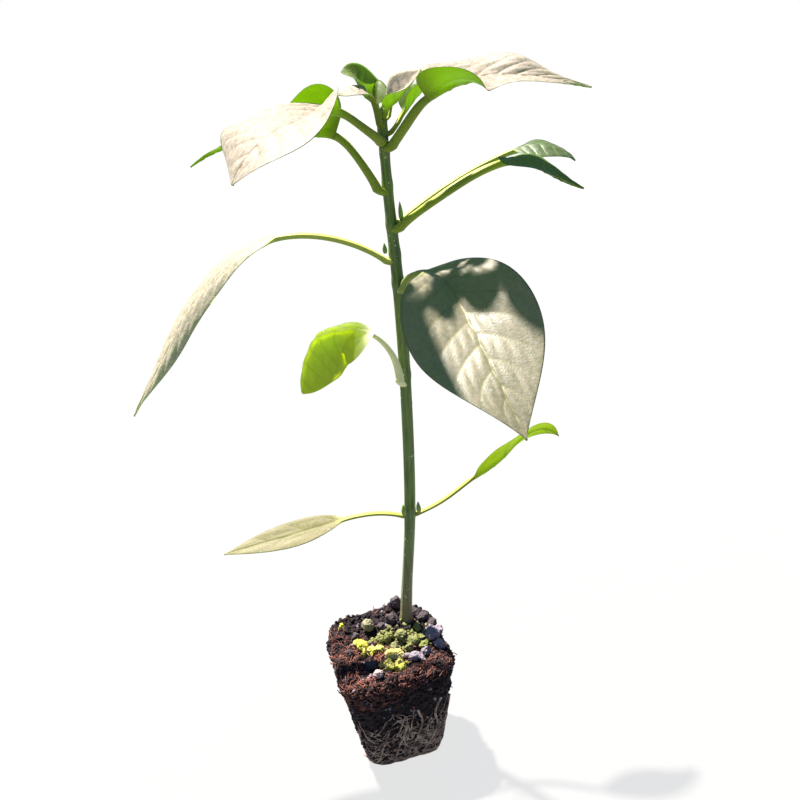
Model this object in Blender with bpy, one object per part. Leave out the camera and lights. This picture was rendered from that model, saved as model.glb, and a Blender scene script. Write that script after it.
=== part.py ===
# Chili pepper seedling grown in a tapered peat plug, with no pot around it.
# Lengths are in millimetres here and are scaled to metres where meshes are made.
# The origin is the centre of the plug's flat bottom, +Z is up, +Y is the plant's back.
import math

import bpy
import numpy as np

for old in list(bpy.data.objects):
    bpy.data.objects.remove(old, do_unlink=True)

MM = 0.001
GAP = 0.35

PLUG_HEIGHT = 38.0
PLUG_TOP_SIDE = 39.0
PLUG_TOP_CORNER = 9.0
PLUG_BOTTOM_SIDE = 26.0
PLUG_BOTTOM_CORNER = 6.0
PLUG_YAW = 13.0
PLUG_SIDES = 48
MOUND_HEIGHT = 4.0
SOCKET_DEPTH = 21.0

# The stem's centre line and radius from the buried end to the growing tip.
STEM_Z = (20.0, 30.0, 41.0, 85.0, 125.0, 160.0, 185.0, 209.0)
STEM_X = (6.0, 6.0, 6.7, 11.9, 14.5, 15.5, 15.3, 15.6)
STEM_Y = (8.5, 8.5, 8.0, 6.0, 5.0, 4.0, 3.5, 3.0)
RADIUS_Z = (20.0, 30.0, 41.0, 46.0, 60.0, 90.0, 130.0, 160.0, 185.0, 206.0, 209.0)
RADIUS = (1.6, 2.6, 2.5, 2.1, 1.95, 1.85, 1.75, 1.75, 1.5, 1.3, 0.7)
STEM_SIDES = 14

BLADE_THICKNESS = 0.55
CREASE = 1.6  # how far from the rib a folded blade reaches its full slope
FOLD_STATIONS = (0.0, 0.3, 0.6, 1.0)
ROLL_STATIONS = (0.0, 0.5, 1.0)

# height: where the leaf stalk leaves the stem. stalk, blade, width and rod (the stalk's
# radius) are lengths. pitch and heading are the rib's climb and compass angles at the
# stalk's start and end, the blade's base, its middle and its tip; heading 0 is +X and 90
# is +Y. left and right are how far each half folds up, at FOLD_STATIONS along the blade.
LEAVES = {
    "leaf_hanging_left": dict(
        height=130.8, stalk=18.0, blade=41.7, width=23.4, rod=1.1,
        pitch=(93, 48.7, 19.9, -38.9, -91.4), heading=(238.6, 181.2, 194.7, 129.5, 193.7),
        left=(5.9, -82.2, -82.4, -60.3), right=(5.6, -50.3, -17.1, -30.5),
        roll=(-22.7, -43.4, -17.9), curl=(15.4, 4), sides=(1.13, 0.47),
        widest=0.51, taper=0.42, wave=0.3,
    ),
    "leaf_front_right": dict(
        height=159.5, stalk=10.0, blade=67.5, width=35.5, rod=1.2,
        pitch=(64, 12, -11, -26, -40), heading=(299, 320, 297, 283, 291),
        roll=(9, 13, 0), left=(17, 24, 4, 20), right=(18, 22, 2, 13),
        widest=0.444, taper=1.16,
    ),
    "leaf_long_left": dict(
        height=167.5, stalk=32.6, blade=72.4, width=20.8, rod=1.05,
        pitch=(40, 1.8, -20.4, -51.3, -52.9), heading=(186.4, 179.4, 173.1, 180.2, 197.9),
        left=(0.7, -11.6, -18.5, 4.8), right=(13.1, 16, 8.9, 4.1),
        roll=(6.8, -8.5, -14.4), curl=(-33, -13.2), sides=(0.78, 1.01),
        widest=0.31, taper=1.12, wave=0.4,
    ),
    "leaf_right_low": dict(
        height=176.9, stalk=35.3, blade=26.3, width=13.9, rod=1.3,
        pitch=(36.1, 17.9, 11.6, -28.5, -23.5), heading=(-34, -3.7, -56.9, -37, -17.9),
        left=(35.2, 23.6, 27.3, 18.6), right=(15.8, -32.9, -18.1, 12.4),
        roll=(-5.1, -17, 7.3), curl=(-20.1, 19.5), sides=(0.96, 1.04),
        widest=0.37, taper=1.17,
    ),
    "leaf_right_high": dict(
        height=178.1, stalk=37.9, blade=19.0, width=14.6, rod=1.0,
        pitch=(30.9, 18.9, 14.8, -14.3, -46.3), heading=(18.1, -0.3, -10.1, -16.6, -13.9),
        left=(-10.2, 3.1, -6.5, -10.4), right=(-23.8, -32.4, -28.4, -18.4),
        roll=(-3.2, 1.6, 8), curl=(5.2, 12.9), sides=(0.99, 1),
        widest=0.37, taper=1.11,
    ),
    "leaf_left_rear": dict(
        height=187.8, stalk=18.7, blade=41.9, width=24.5, rod=1.25,
        pitch=(67.1, 45.6, 8.8, -1, -32.4), heading=(201, 174, 185.3, 177.3, 175.3),
        left=(88.7, 53.2, 35.7, 10), right=(20.4, 20.1, 2.8, 5.6),
        roll=(2.2, -20, 0.6), curl=(-1.4, 4.7), sides=(1.15, 0.94),
        widest=0.16, taper=2.26,
    ),
    "leaf_top_right": dict(
        height=199.2, stalk=16.7, blade=45.5, width=23.5, rod=1.3,
        pitch=(43.5, 40.9, 19.9, -5.6, -17.1), heading=(-37.1, -24.5, 17.2, -16.7, -23),
        left=(38, 18.4, 35.2, 15.5), right=(62.3, -0.1, 3.8, 13.9),
        roll=(6.9, 17.9, 18.8), curl=(-12.7, 2), sides=(0.98, 1.03),
        widest=0.18, taper=1.46, wave=0.4,
    ),
    "leaf_left_front": dict(
        height=200.6, stalk=14.8, blade=46.7, width=34.0, rod=1.2,
        pitch=(26.6, 37.1, 4.4, -6.4, -60.1), heading=(249, 201.3, 236, 233, 199.4),
        left=(39.4, 35.6, -1.5, -6.3), right=(49.7, 19.7, 3.7, 4),
        roll=(10.5, -1.4, -3.8), curl=(6, -13.7), sides=(0.87, 1.21),
        widest=0.58, taper=0.83, wave=0.5,
    ),
    "leaf_small_right": dict(
        height=202.5, stalk=6.5, blade=13.0, width=10.0, rod=0.7,
        pitch=(40, 54, 44, 33, 8), heading=(8, 18, 24, 28, 30),
        left=(50, 45, 35, 20), right=(60, 55, 45, 20), widest=0.38, taper=1.3,
    ),
    "leaf_small_left": dict(
        height=205.1, stalk=8.4, blade=8.5, width=11.0, rod=0.7,
        pitch=(78.4, 57, 31.1, 0.5, -19.2), heading=(251.3, 212, 194, 178, 172),
        left=(8.2, 2.2, 2.3, 13.1), right=(43.9, 19.7, 17.6, 12.2),
        roll=(-10.3, -6.5, -25.4), curl=(-12.1, -16.7), sides=(1.01, 1.01),
        widest=0.41, taper=1.2,
    ),
    "leaf_young_left": dict(
        height=205.7, stalk=4.2, blade=13.4, width=14.6, rod=0.65,
        pitch=(69.2, 82.2, 45.2, 70.1, -1.7), heading=(112, 122, 155, 175.5, 179.9),
        left=(59.9, 54.3, 20.6, 7.6), right=(53.8, 39.4, 30.6, 32.7),
        roll=(0.6, -5.9, -18.3), curl=(-12.8, 10.2), sides=(1.01, 1),
        widest=0.36, taper=0.67,
    ),
    "leaf_young_front": dict(
        height=207.2, stalk=1.6, blade=14.2, width=13.2, rod=0.6,
        pitch=(55.5, 55, 36.4, 43.6, 43), heading=(-63.6, -46.7, -32.4, -16.4, -14.3),
        left=(68.2, 54.6, 44.5, 25.6), right=(37.7, 32.4, 9.5, 8.3),
        roll=(8.2, 7.6, 16.6), curl=(13.7, -11.1), sides=(1.03, 0.99),
        widest=0.45, taper=1.03,
    ),
    "leaf_youngest": dict(
        height=206.5, stalk=2.5, blade=8.0, width=4.0, rod=0.5,
        pitch=(70, 78, 80, 72, 66), heading=(20, 20, 20, 20, 20),
        left=(50, 45, 35, 20), right=(50, 45, 35, 20), widest=0.35, taper=1.3,
    ),
}

COTYLEDONS = {
    "cotyledon_left": dict(
        height=83.5, stalk=19.0, blade=41.0, width=10.0, rod=0.75,
        pitch=(20, -9, -14, -9, -9), heading=(181, 178, 177, 184, 186),
        roll=(-28, -28, -20), left=(10, 5, 5, 5), right=(10, 5, 5, 5),
        widest=0.42, taper=1.0,
    ),
    "cotyledon_right": dict(
        height=83.6, stalk=22.4, blade=34.8, width=12.2, rod=0.75,
        pitch=(14.7, 36.9, 24.8, 35.9, -55.5), heading=(5.9, -5.1, 10, 17.6, 16.5),
        left=(11.3, 17.9, 5.3, -3.6), right=(10.4, 16.9, -4.7, 9.6),
        roll=(-58.2, -46.1, -59.7), curl=(-7.8, -1.2), sides=(1.01, 1.01),
        widest=0.42, taper=1.01,
    ),
}

# name: (height on the stem, compass angle, length, thickness, lean from upright)
BUDS = {
    "bud_cotyledon_left": (86.0, 238.0, 3.6, 1.7, 30.0),
    "bud_cotyledon_right": (86.0, 318.0, 3.6, 1.7, 25.0),
    "bud_side": (178.8, 335.0, 5.2, 1.7, 8.0),
    "bud_middle": (170.5, 215.0, 2.6, 1.5, 30.0),
}

# name: (x, y, length, width, height, turn), lying on the plug's top
GRAINS = {
    "grain_round": (-6.5, 7.5, 4.9, 4.5, 4.2, 10.0),
    "grain_long": (-8.4, -0.6, 4.8, 3.6, 3.4, 35.0),
    "grain_front": (2.1, -8.2, 6.8, 5.0, 4.6, -20.0),
    "grain_middle": (4.6, 0.6, 4.8, 4.0, 3.6, 60.0),
    "grain_green": (9.2, -2.2, 3.8, 3.4, 3.2, 15.0),
    "grain_right": (15.0, 0.2, 6.4, 5.2, 4.2, -40.0),
    "grain_corner": (8.6, -8.4, 4.6, 3.8, 3.2, 25.0),
    "grain_rim": (-3.4, -15.6, 3.6, 3.2, 2.8, 0.0),
}

# name: radius, then points (angle round the plug, height) the root follows down its wall
ROOTS = {
    "root_front_left": (0.55, ((262, 17), (254, 11), (248, 6), (243, 3))),
    "root_front": (0.60, ((284, 20), (279, 14), (271, 9), (266, 5), (262, 3))),
    "root_front_right": (0.60, ((296, 24), (301, 18), (296, 12), (288, 7), (281, 3.5))),
    "root_corner": (0.65, ((318, 27), (314, 21), (317, 14), (311, 8), (303, 4))),
    "root_right": (0.60, ((338, 22), (334, 15), (339, 9), (334, 4))),
    "root_back": (0.60, ((75, 22), (82, 15), (76, 8), (80, 4))),
    "root_left": (0.55, ((182, 18), (188, 12), (183, 7), (187, 3.5))),
}


def smooth_curve(stations, values, at):
    # A cubic through the given values; its slopes come from the neighbours.
    stations = np.asarray(stations, float)
    values = np.asarray(values, float)
    at = np.atleast_1d(np.asarray(at, float))
    slope = np.gradient(values, stations)
    i = np.clip(np.searchsorted(stations, at, side="right") - 1, 0, len(stations) - 2)
    step = stations[i + 1] - stations[i]
    u = (at - stations[i]) / step
    return (
        (2 * u**3 - 3 * u**2 + 1) * values[i]
        + (u**3 - 2 * u**2 + u) * step * slope[i]
        + (3 * u**2 - 2 * u**3) * values[i + 1]
        + (u**3 - u**2) * step * slope[i + 1]
    )


def ease(x):
    x = np.clip(x, 0.0, 1.0)
    return x * x * (3.0 - 2.0 * x)


def stem_centre(z):
    x = smooth_curve(STEM_Z, STEM_X, z)
    y = smooth_curve(STEM_Z, STEM_Y, z)
    return np.stack([x, y, np.atleast_1d(np.asarray(z, float))], -1)


def stem_radius(z):
    return np.interp(z, RADIUS_Z, RADIUS)


def rounded_square(side, corner, angle):
    # Distance from the centre to a rounded square's edge, in the direction of angle.
    angle = (angle + math.pi / 4) % (math.pi / 2) - math.pi / 4
    half = side / 2
    straight = half - corner
    flat = half / math.cos(angle)
    if abs(flat * math.sin(angle)) <= straight:
        return flat
    ux, uy = math.cos(angle), abs(math.sin(angle))
    along = straight * (ux + uy)
    return along + math.sqrt(along**2 - 2 * straight**2 + corner**2)


def lumps(x, y, size):
    # Gentle unevenness of soil, from three crossing waves.
    x, y = x / size, y / size
    wave = math.sin(1.9 * x + 0.7 * y) + math.sin(1.3 * y - 1.7 * x + 1.1)
    return (wave + math.sin(2.3 * y + 0.4 * x + 2.0)) / 3.0


def wall_radius(angle, z):
    # The plug's wall from its axis at a height, before the root mat's unevenness.
    f = z / PLUG_HEIGHT
    side = PLUG_BOTTOM_SIDE + (PLUG_TOP_SIDE - PLUG_BOTTOM_SIDE) * f
    corner = PLUG_BOTTOM_CORNER + (PLUG_TOP_CORNER - PLUG_BOTTOM_CORNER) * f
    return rounded_square(side, corner, angle - math.radians(PLUG_YAW))


def soil_height(x, y):
    # The mounded top: highest at the stem, hollow at the back left, worn at the rim.
    stem = stem_centre(40.0)[0]
    to_stem = math.hypot(x - stem[0], y - stem[1])
    to_hollow = math.hypot(x + 9.0, y - 11.0)
    back = ease(y / 14.0) * ease((14.0 - x) / 14.0)
    peak = 2.2 * math.exp(-((math.hypot(x - 2.0, y - 13.0) / 3.2) ** 2))
    mound = MOUND_HEIGHT * math.exp(-((to_stem / 9.0) ** 2)) + 3.4 * back + peak
    hollow = 2.4 * math.exp(-((to_hollow / 5.0) ** 2))
    return PLUG_HEIGHT + mound - hollow + 0.45 * lumps(x, y, 2.6)


def mesh_object(name, points, faces, colour, roughness):
    mesh = bpy.data.meshes.new(name)
    mesh.from_pydata([tuple(float(c) * MM for c in p) for p in points], [], faces)
    mesh.validate()
    mesh.update()
    thing = bpy.data.objects.new(name, mesh)
    bpy.context.scene.collection.objects.link(thing)
    material = bpy.data.materials.new(name)
    material.use_nodes = True
    shader = material.node_tree.nodes["Principled BSDF"]
    shader.inputs["Base Color"].default_value = (*colour, 1.0)
    shader.inputs["Roughness"].default_value = roughness
    mesh.materials.append(material)
    return thing


def loft(name, rings, colour, roughness):
    # Joins closed rings of points that run anticlockwise seen from the far end.
    count = len(rings[0])
    points = [p for ring in rings for p in ring]
    faces = []
    for r in range(len(rings) - 1):
        for k in range(count):
            n = (k + 1) % count
            a, b = r * count, (r + 1) * count
            faces.append((a + k, a + n, b + n, b + k))
    points.append(np.mean(rings[0], axis=0))
    points.append(np.mean(rings[-1], axis=0))
    last = (len(rings) - 1) * count
    for k in range(count):
        n = (k + 1) % count
        faces.append((n, k, len(points) - 2))
        faces.append((last + k, last + n, len(points) - 1))
    return mesh_object(name, points, faces, colour, roughness)


def leaf_frames(leaf, s):
    # Centre line and side and up directions along the stalk and blade.
    stalk, blade = leaf["stalk"], leaf["blade"]
    marks = (0, 0.85 * stalk, stalk + 0.1 * blade, stalk + 0.5 * blade, stalk + blade)
    pitch = np.radians(smooth_curve(marks, leaf["pitch"], s))
    heading = np.radians(smooth_curve(marks, leaf["heading"], s))
    along = np.stack(
        [np.cos(pitch) * np.cos(heading), np.cos(pitch) * np.sin(heading), np.sin(pitch)],
        -1,
    )
    out = np.array([math.cos(heading[0]), math.sin(heading[0]), 0.0])
    clear = stem_radius(leaf["height"]) + GAP + leaf["rod"] * math.sin(abs(pitch[0]))
    start = stem_centre(leaf["height"])[0] + out * clear
    steps = (along[1:] + along[:-1]) / 2 * np.diff(s)[:, None]
    centre = np.concatenate([[start], start + np.cumsum(steps, axis=0)])
    side = np.stack([-np.sin(heading), np.cos(heading), 0 * heading], -1)
    up = np.cross(along, side)
    t = np.clip((s - stalk) / blade, 0, 1)
    roll = np.radians(smooth_curve(ROLL_STATIONS, leaf.get("roll", (0, 0, 0)), t))
    turn = ease((s - 0.85 * stalk) / (0.15 * stalk + 0.1 * blade))
    roll = (roll * turn)[:, None]
    return (
        centre,
        np.cos(roll) * side + np.sin(roll) * up,
        np.cos(roll) * up - np.sin(roll) * side,
    )


def half_width(leaf, t, share):
    widest, taper = leaf["widest"], leaf["taper"]
    swell = taper * widest / (1 - widest)
    shape = (t / widest) ** swell * ((1 - t) / (1 - widest)) ** taper
    stalk = leaf["rod"] * (1 - t) ** 0.7 + 0.25
    return np.maximum(leaf["width"] / 2 * shape * share, stalk)


def across_blade(leaf, t, v):
    # Sideways and upward distance from the rib at v, from -1 (right edge) to 1 (left).
    left = v > 0
    fold = smooth_curve(FOLD_STATIONS, leaf["left" if left else "right"], t)
    curl = leaf.get("curl", (0, 0))[0 if left else 1]
    share = leaf.get("sides", (1, 1))[0 if left else 1]
    half = half_width(leaf, t, share)
    q = (np.arange(24) + 0.5) / 24 * abs(v)
    opening = ease(q[None, :] * half[:, None] / CREASE)
    angle = np.radians(fold[:, None] + curl * q[None, :]) * opening
    aside = np.cos(angle).mean(1) * abs(v) * half * (1 if left else -1)
    rise = np.sin(angle).mean(1) * abs(v) * half
    ripple = np.sin(2 * math.pi * (2 * t + (0.25 if left else 0.0)))
    rise = rise + leaf.get("wave", 0) * ripple * v * v * np.sin(math.pi * t)
    return aside, rise, half


def leaf_rings(leaf, stalk_rings, blade_rings, columns):
    # One closed ring of points at each station: over the top, then back underneath.
    stalk, blade = leaf["stalk"], leaf["blade"]
    s = np.concatenate([
        np.linspace(0, stalk, stalk_rings + 1)[:-1],
        stalk + blade * np.linspace(0, 1, blade_rings + 1),
    ])
    centre, side, up = leaf_frames(leaf, s)
    t = np.clip((s - stalk) / blade, 0, 1)
    flat = ease((s - stalk + 2.0) / (2.0 + 0.12 * blade))[:, None]
    j = np.arange(-columns, columns + 1) / columns
    round_v = np.sin(math.pi / 2 * j)
    flat_v = np.sign(j) * np.abs(j) ** 1.3
    rod = leaf["rod"] * (1 - 0.9 * t) ** 0.8
    surface, lift, drop = [], [], []
    for k in range(2 * columns + 1):
        v = (1 - flat[:, 0]) * round_v[k] + flat[:, 0] * flat_v[k]
        aside = np.zeros(len(s))
        rise = np.zeros(len(s))
        half = np.zeros(len(s))
        for r in range(len(s)):
            a, h, w = across_blade(leaf, t[r:r + 1], v[r])
            aside[r], rise[r], half[r] = a[0], h[0], w[0]
        surface.append(centre + side * aside[:, None] + up * rise[:, None])
        edge = np.sqrt(np.clip(1 - v**2, 0, 1))
        sheet = BLADE_THICKNESS / 2 * np.sqrt(np.clip(1 - v**4, 0, 1))
        rib = 1.25 * rod * np.exp(-((v * half / (1.1 * rod)) ** 2))
        f = flat[:, 0]
        lift.append((1 - f) * 0.65 * leaf["rod"] * edge + f * sheet)
        drop.append((1 - f) * 1.05 * leaf["rod"] * edge + f * (sheet + rib))
    surface = np.stack(surface, 1)
    lift, drop = np.stack(lift, 1)[..., None], np.stack(drop, 1)[..., None]
    cross = np.gradient(surface, axis=1)
    cross /= np.linalg.norm(cross, axis=2, keepdims=True)
    along = np.gradient(centre, axis=0)
    along /= np.linalg.norm(along, axis=1, keepdims=True)
    normal = np.cross(along[:, None, :], cross)
    normal /= np.linalg.norm(normal, axis=2, keepdims=True)
    top = surface + normal * lift
    below = surface - normal * drop
    return [
        np.concatenate([below[r], top[r, -2:0:-1]])[::-1]
        for r in range(len(s))
    ]


def make_leaf(name, leaf, colour):
    small = leaf["blade"] < 20
    counts = (4, 10, 4) if small else (6, 16, 5)
    rings = leaf_rings(leaf, *counts)
    loft(name, [ring[::-1] for ring in rings], colour, 0.5)


def circle(centre, radius, sides, along=(0, 0, 1)):
    along = np.asarray(along, float) / np.linalg.norm(along)
    first = np.cross((0.0, 1.0, 0.0), along)
    first /= np.linalg.norm(first)
    second = np.cross(along, first)
    angles = np.arange(sides) * 2 * math.pi / sides
    return np.array([
        centre + radius * (math.cos(a) * first + math.sin(a) * second) for a in angles
    ])


def make_stem():
    heights = (20, 23, 26.5, 30, 35, 39, 42, 46, 52, 60, 70, 80, 84, 92, 104, 116, 125,
               131, 140, 150, 158, 164, 170, 176, 182, 188, 194, 200, 204, 207, 209)
    centres = stem_centre(np.array(heights, float))
    along = np.gradient(centres, axis=0)
    rings = [
        circle(c, float(stem_radius(z)), STEM_SIDES, a)
        for c, z, a in zip(centres, heights, along)
    ]
    loft("main_stem", rings, (0.12, 0.22, 0.10), 0.5)


def make_bud(name, height, angle, length, thickness, lean):
    turn = math.radians(angle)
    out = np.array([math.cos(turn), math.sin(turn), 0.0])
    lean = math.radians(lean)
    along = out * math.sin(lean) + np.array([0.0, 0.0, math.cos(lean)])
    reach = float(stem_radius(height)) + GAP + thickness / 2 + 0.15
    start = stem_centre(height)[0] + out * reach
    rings = []
    for f, share in ((0.0, 0.55), (0.15, 0.9), (0.4, 1.0), (0.7, 0.75), (0.9, 0.4)):
        rings.append(circle(start + along * length * f, thickness / 2 * share, 8, along))
    rings.append(circle(start + along * length, thickness * 0.12, 8, along))
    loft(name, rings, (0.30, 0.45, 0.06), 0.45)


def make_grain(name, x, y, length, width, height, turn):
    # A rounded, slightly faceted lump of perlite that rests on the soil.
    yaw = math.radians(turn)
    ground = max(
        soil_height(x + 0.5 * length * math.cos(a), y + 0.5 * width * math.sin(a))
        for a in np.arange(0, 2 * math.pi, 0.4)
    )
    ground = max(ground, soil_height(x, y))
    base = ground + GAP + height / 2
    rings = []
    for tilt in (-72, -40, -8, 24, 52, 76):
        t = math.radians(tilt)
        ring = []
        for k in range(10):
            a = k * math.pi / 5
            swell = 1.0 + 0.08 * math.sin(2 * a + x) + 0.05 * math.sin(3 * a + y + 2 * t)
            px = length / 2 * math.cos(t) * math.cos(a) * swell
            py = width / 2 * math.cos(t) * math.sin(a) * swell
            ring.append((
                x + px * math.cos(yaw) - py * math.sin(yaw),
                y + px * math.sin(yaw) + py * math.cos(yaw),
                base + height / 2 * math.sin(t),
            ))
        rings.append(np.array(ring))
    loft(name, rings, (0.62, 0.58, 0.50), 0.85)


def plug_ring(radii, heights, angles):
    return np.array([
        (r * math.cos(a), r * math.sin(a), z) for r, z, a in zip(radii, heights, angles)
    ])


def make_plug():
    angles = [math.radians(PLUG_YAW) + k * 2 * math.pi / PLUG_SIDES for k in range(PLUG_SIDES)]
    rings = []
    for z, inset in ((0.0, 0.7), (0.8, 0.0), (6.0, 0.0), (12.0, 0.0), (19.0, 0.0),
                     (26.0, 0.0), (32.0, 0.0), (36.0, 0.2)):
        bump = 0.0 if z < 1 else 0.28
        radii = [
            wall_radius(a, z) - inset - bump * (1 + lumps(6 * a, z, 2.2)) for a in angles
        ]
        rings.append(plug_ring(radii, [z] * PLUG_SIDES, angles))
    hole = circle(stem_centre(42.0)[0] * (1, 1, 0), float(stem_radius(41.0)) + GAP + 0.1,
                  PLUG_SIDES)
    # Both rings start at the same side, so that the top's quads don't twist.
    shift = int(round(PLUG_YAW / (360 / PLUG_SIDES)))
    hole = np.roll(hole, -shift, axis=0)
    rim = [wall_radius(a, PLUG_HEIGHT) - 1.3 for a in angles]
    rim = plug_ring(rim, [0.0] * PLUG_SIDES, angles)
    for f in (0.0, 0.12, 0.27, 0.42, 0.57, 0.72, 0.87, 1.0):
        ring = rim + (hole - rim) * f
        for point in ring:
            point[2] = soil_height(point[0], point[1]) - 0.5 * (f == 0.0)
        rings.append(ring)
    for z in (38.0, 34.0, 30.0, 26.0, 22.0, PLUG_HEIGHT + 2.5 - SOCKET_DEPTH):
        socket = circle(stem_centre(max(z, 20.0))[0] * (1, 1, 0) + (0, 0, z),
                        float(stem_radius(max(z, 20.0))) + GAP + 0.1, PLUG_SIDES)
        rings.append(np.roll(socket, -shift, axis=0))
    loft("peat_plug", rings, (0.07, 0.035, 0.03), 0.95)


def make_root(name, radius, marks):
    order = np.arange(len(marks))
    at = np.linspace(0, len(marks) - 1, 5 * len(marks))
    turn = smooth_curve(order, [m[0] for m in marks], at)
    height = smooth_curve(order, [m[1] for m in marks], at)
    path = []
    for a, z in zip(np.radians(turn), height):
        reach = wall_radius(a, z) + GAP + radius
        path.append((reach * math.cos(a), reach * math.sin(a), z))
    path = np.array(path)
    along = np.gradient(path, axis=0)
    share = 1 - 0.5 * at / at[-1]
    rings = [circle(p, radius * w, 7, a) for p, w, a in zip(path, share, along)]
    loft(name, rings, (0.50, 0.42, 0.34), 0.8)


make_plug()
make_stem()
for leaf_name, values in LEAVES.items():
    make_leaf(leaf_name, values, (0.10, 0.20, 0.05))
for leaf_name, values in COTYLEDONS.items():
    make_leaf(leaf_name, values, (0.16, 0.26, 0.06))
for bud_name, values in BUDS.items():
    make_bud(bud_name, *values)
for grain_name, values in GRAINS.items():
    make_grain(grain_name, *values)
for root_name, values in ROOTS.items():
    make_root(root_name, *values)
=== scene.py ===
import math

import bmesh
import bpy
import numpy as np
from mathutils import Matrix, Vector, noise


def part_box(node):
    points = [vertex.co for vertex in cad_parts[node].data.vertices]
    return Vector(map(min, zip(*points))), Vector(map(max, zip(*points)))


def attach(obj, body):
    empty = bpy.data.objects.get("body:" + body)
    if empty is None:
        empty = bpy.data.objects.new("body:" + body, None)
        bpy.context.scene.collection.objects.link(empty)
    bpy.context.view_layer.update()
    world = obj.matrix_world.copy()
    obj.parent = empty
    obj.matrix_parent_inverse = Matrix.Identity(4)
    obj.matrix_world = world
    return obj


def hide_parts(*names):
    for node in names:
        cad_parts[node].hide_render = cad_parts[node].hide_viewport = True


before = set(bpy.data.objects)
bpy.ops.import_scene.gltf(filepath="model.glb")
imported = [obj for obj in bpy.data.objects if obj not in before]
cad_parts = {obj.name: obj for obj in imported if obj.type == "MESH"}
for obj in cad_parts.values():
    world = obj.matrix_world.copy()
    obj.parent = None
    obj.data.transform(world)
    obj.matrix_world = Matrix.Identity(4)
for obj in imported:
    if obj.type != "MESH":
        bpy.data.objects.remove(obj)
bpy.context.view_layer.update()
mm = 0.001  # sizes below are in millimetres, meshes in metres


# The view
cameraSetup = dict(place=(12.5, -250.0, 221.0), tilt=-20.9, roll=-6.0, lens=40.1)
lightSetup = dict(
    sunFrom=(-0.28, 0.36, 0.89), sunStrength=22.0, sunSize=2.5, sunColour=(1.0, 0.94, 0.86),
    fillColour=(0.30, 0.52, 1.0), fillStrength=0.60, backdrop=(1.0, 1.0, 1.0),
)


def setCamera():
    tilt, roll = math.radians(cameraSetup["tilt"]), math.radians(cameraSetup["roll"])
    ahead = Vector((0.0, math.cos(tilt), math.sin(tilt)))
    right = Vector((1.0, 0.0, 0.0))
    up = right.cross(ahead)
    turnedRight = math.cos(roll) * right + math.sin(roll) * up
    turnedUp = math.cos(roll) * up - math.sin(roll) * right
    camera = bpy.data.objects.new("viewCamera", bpy.data.cameras.new("viewCamera"))
    bpy.context.scene.collection.objects.link(camera)
    place = Matrix((turnedRight, turnedUp, -ahead)).transposed().to_4x4()
    place.translation = Vector(cameraSetup["place"]) * mm
    camera.matrix_world = place
    camera.data.lens = cameraSetup["lens"]
    camera.data.sensor_width = 36.0
    camera.data.clip_start = 0.01
    bpy.context.scene.camera = camera


def setLights():
    sun = bpy.data.lights.new("keySun", "SUN")
    sun.energy = lightSetup["sunStrength"]
    sun.angle = math.radians(lightSetup["sunSize"])
    sun.color = lightSetup["sunColour"]
    lamp = bpy.data.objects.new("keySun", sun)
    bpy.context.scene.collection.objects.link(lamp)
    lamp.rotation_euler = Vector(lightSetup["sunFrom"]).to_track_quat("Z", "Y").to_euler()
    world = bpy.data.worlds.new("studio")
    world.use_nodes = True
    tree = world.node_tree
    fill = tree.nodes["Background"]
    fill.inputs["Color"].default_value = (*lightSetup["fillColour"], 1.0)
    fill.inputs["Strength"].default_value = lightSetup["fillStrength"]
    seen = tree.nodes.new("ShaderNodeBackground")
    seen.inputs["Color"].default_value = (*lightSetup["backdrop"], 1.0)
    ray = tree.nodes.new("ShaderNodeLightPath")
    mix = tree.nodes.new("ShaderNodeMixShader")
    tree.links.new(ray.outputs["Is Camera Ray"], mix.inputs[0])
    tree.links.new(fill.outputs[0], mix.inputs[1])
    tree.links.new(seen.outputs[0], mix.inputs[2])
    tree.links.new(mix.outputs[0], tree.nodes["World Output"].inputs["Surface"])
    bpy.context.scene.world = world
    bpy.context.scene.view_settings.view_transform = "Standard"


# Shader node helpers
def addNode(tree, kind, **settings):
    made = tree.nodes.new(kind)
    for key, value in settings.items():
        setattr(made, key, value)
    return made


def feed(tree, socket, source):
    if isinstance(source, bpy.types.NodeSocket):
        tree.links.new(source, socket)
    elif socket.type == "RGBA":
        socket.default_value = (*source, 1.0)
    else:
        socket.default_value = source


def mathOf(tree, operation, first, second=0.5, clamp=False):
    made = addNode(tree, "ShaderNodeMath", operation=operation, use_clamp=clamp)
    feed(tree, made.inputs[0], first)
    feed(tree, made.inputs[1], second)
    return made.outputs[0]


def times(tree, first, second):
    return mathOf(tree, "MULTIPLY", first, second)


def rangeOf(tree, value, low, high, toLow=0.0, toHigh=1.0):
    made = addNode(tree, "ShaderNodeMapRange", interpolation_type="SMOOTHSTEP")
    for socket, source in zip(made.inputs, (value, low, high, toLow, toHigh)):
        feed(tree, socket, source)
    return made.outputs[0]


def mixOf(tree, share, first, second, blend="MIX"):
    made = addNode(tree, "ShaderNodeMix", data_type="RGBA", blend_type=blend)
    feed(tree, made.inputs[0], share)
    feed(tree, made.inputs[6], first)
    feed(tree, made.inputs[7], second)
    return made.outputs[2]


def noiseOf(tree, where, scale, detail=3.0, rough=0.55):
    made = addNode(tree, "ShaderNodeTexNoise")
    feed(tree, made.inputs["Vector"], where)
    made.inputs["Scale"].default_value = scale
    made.inputs["Detail"].default_value = detail
    made.inputs["Roughness"].default_value = rough
    return made.outputs["Fac"]


def cellsOf(tree, where, scale, feature="F1", output="Distance"):
    made = addNode(tree, "ShaderNodeTexVoronoi", feature=feature)
    feed(tree, made.inputs["Vector"], where)
    made.inputs["Scale"].default_value = scale
    return made.outputs[output]


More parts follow.
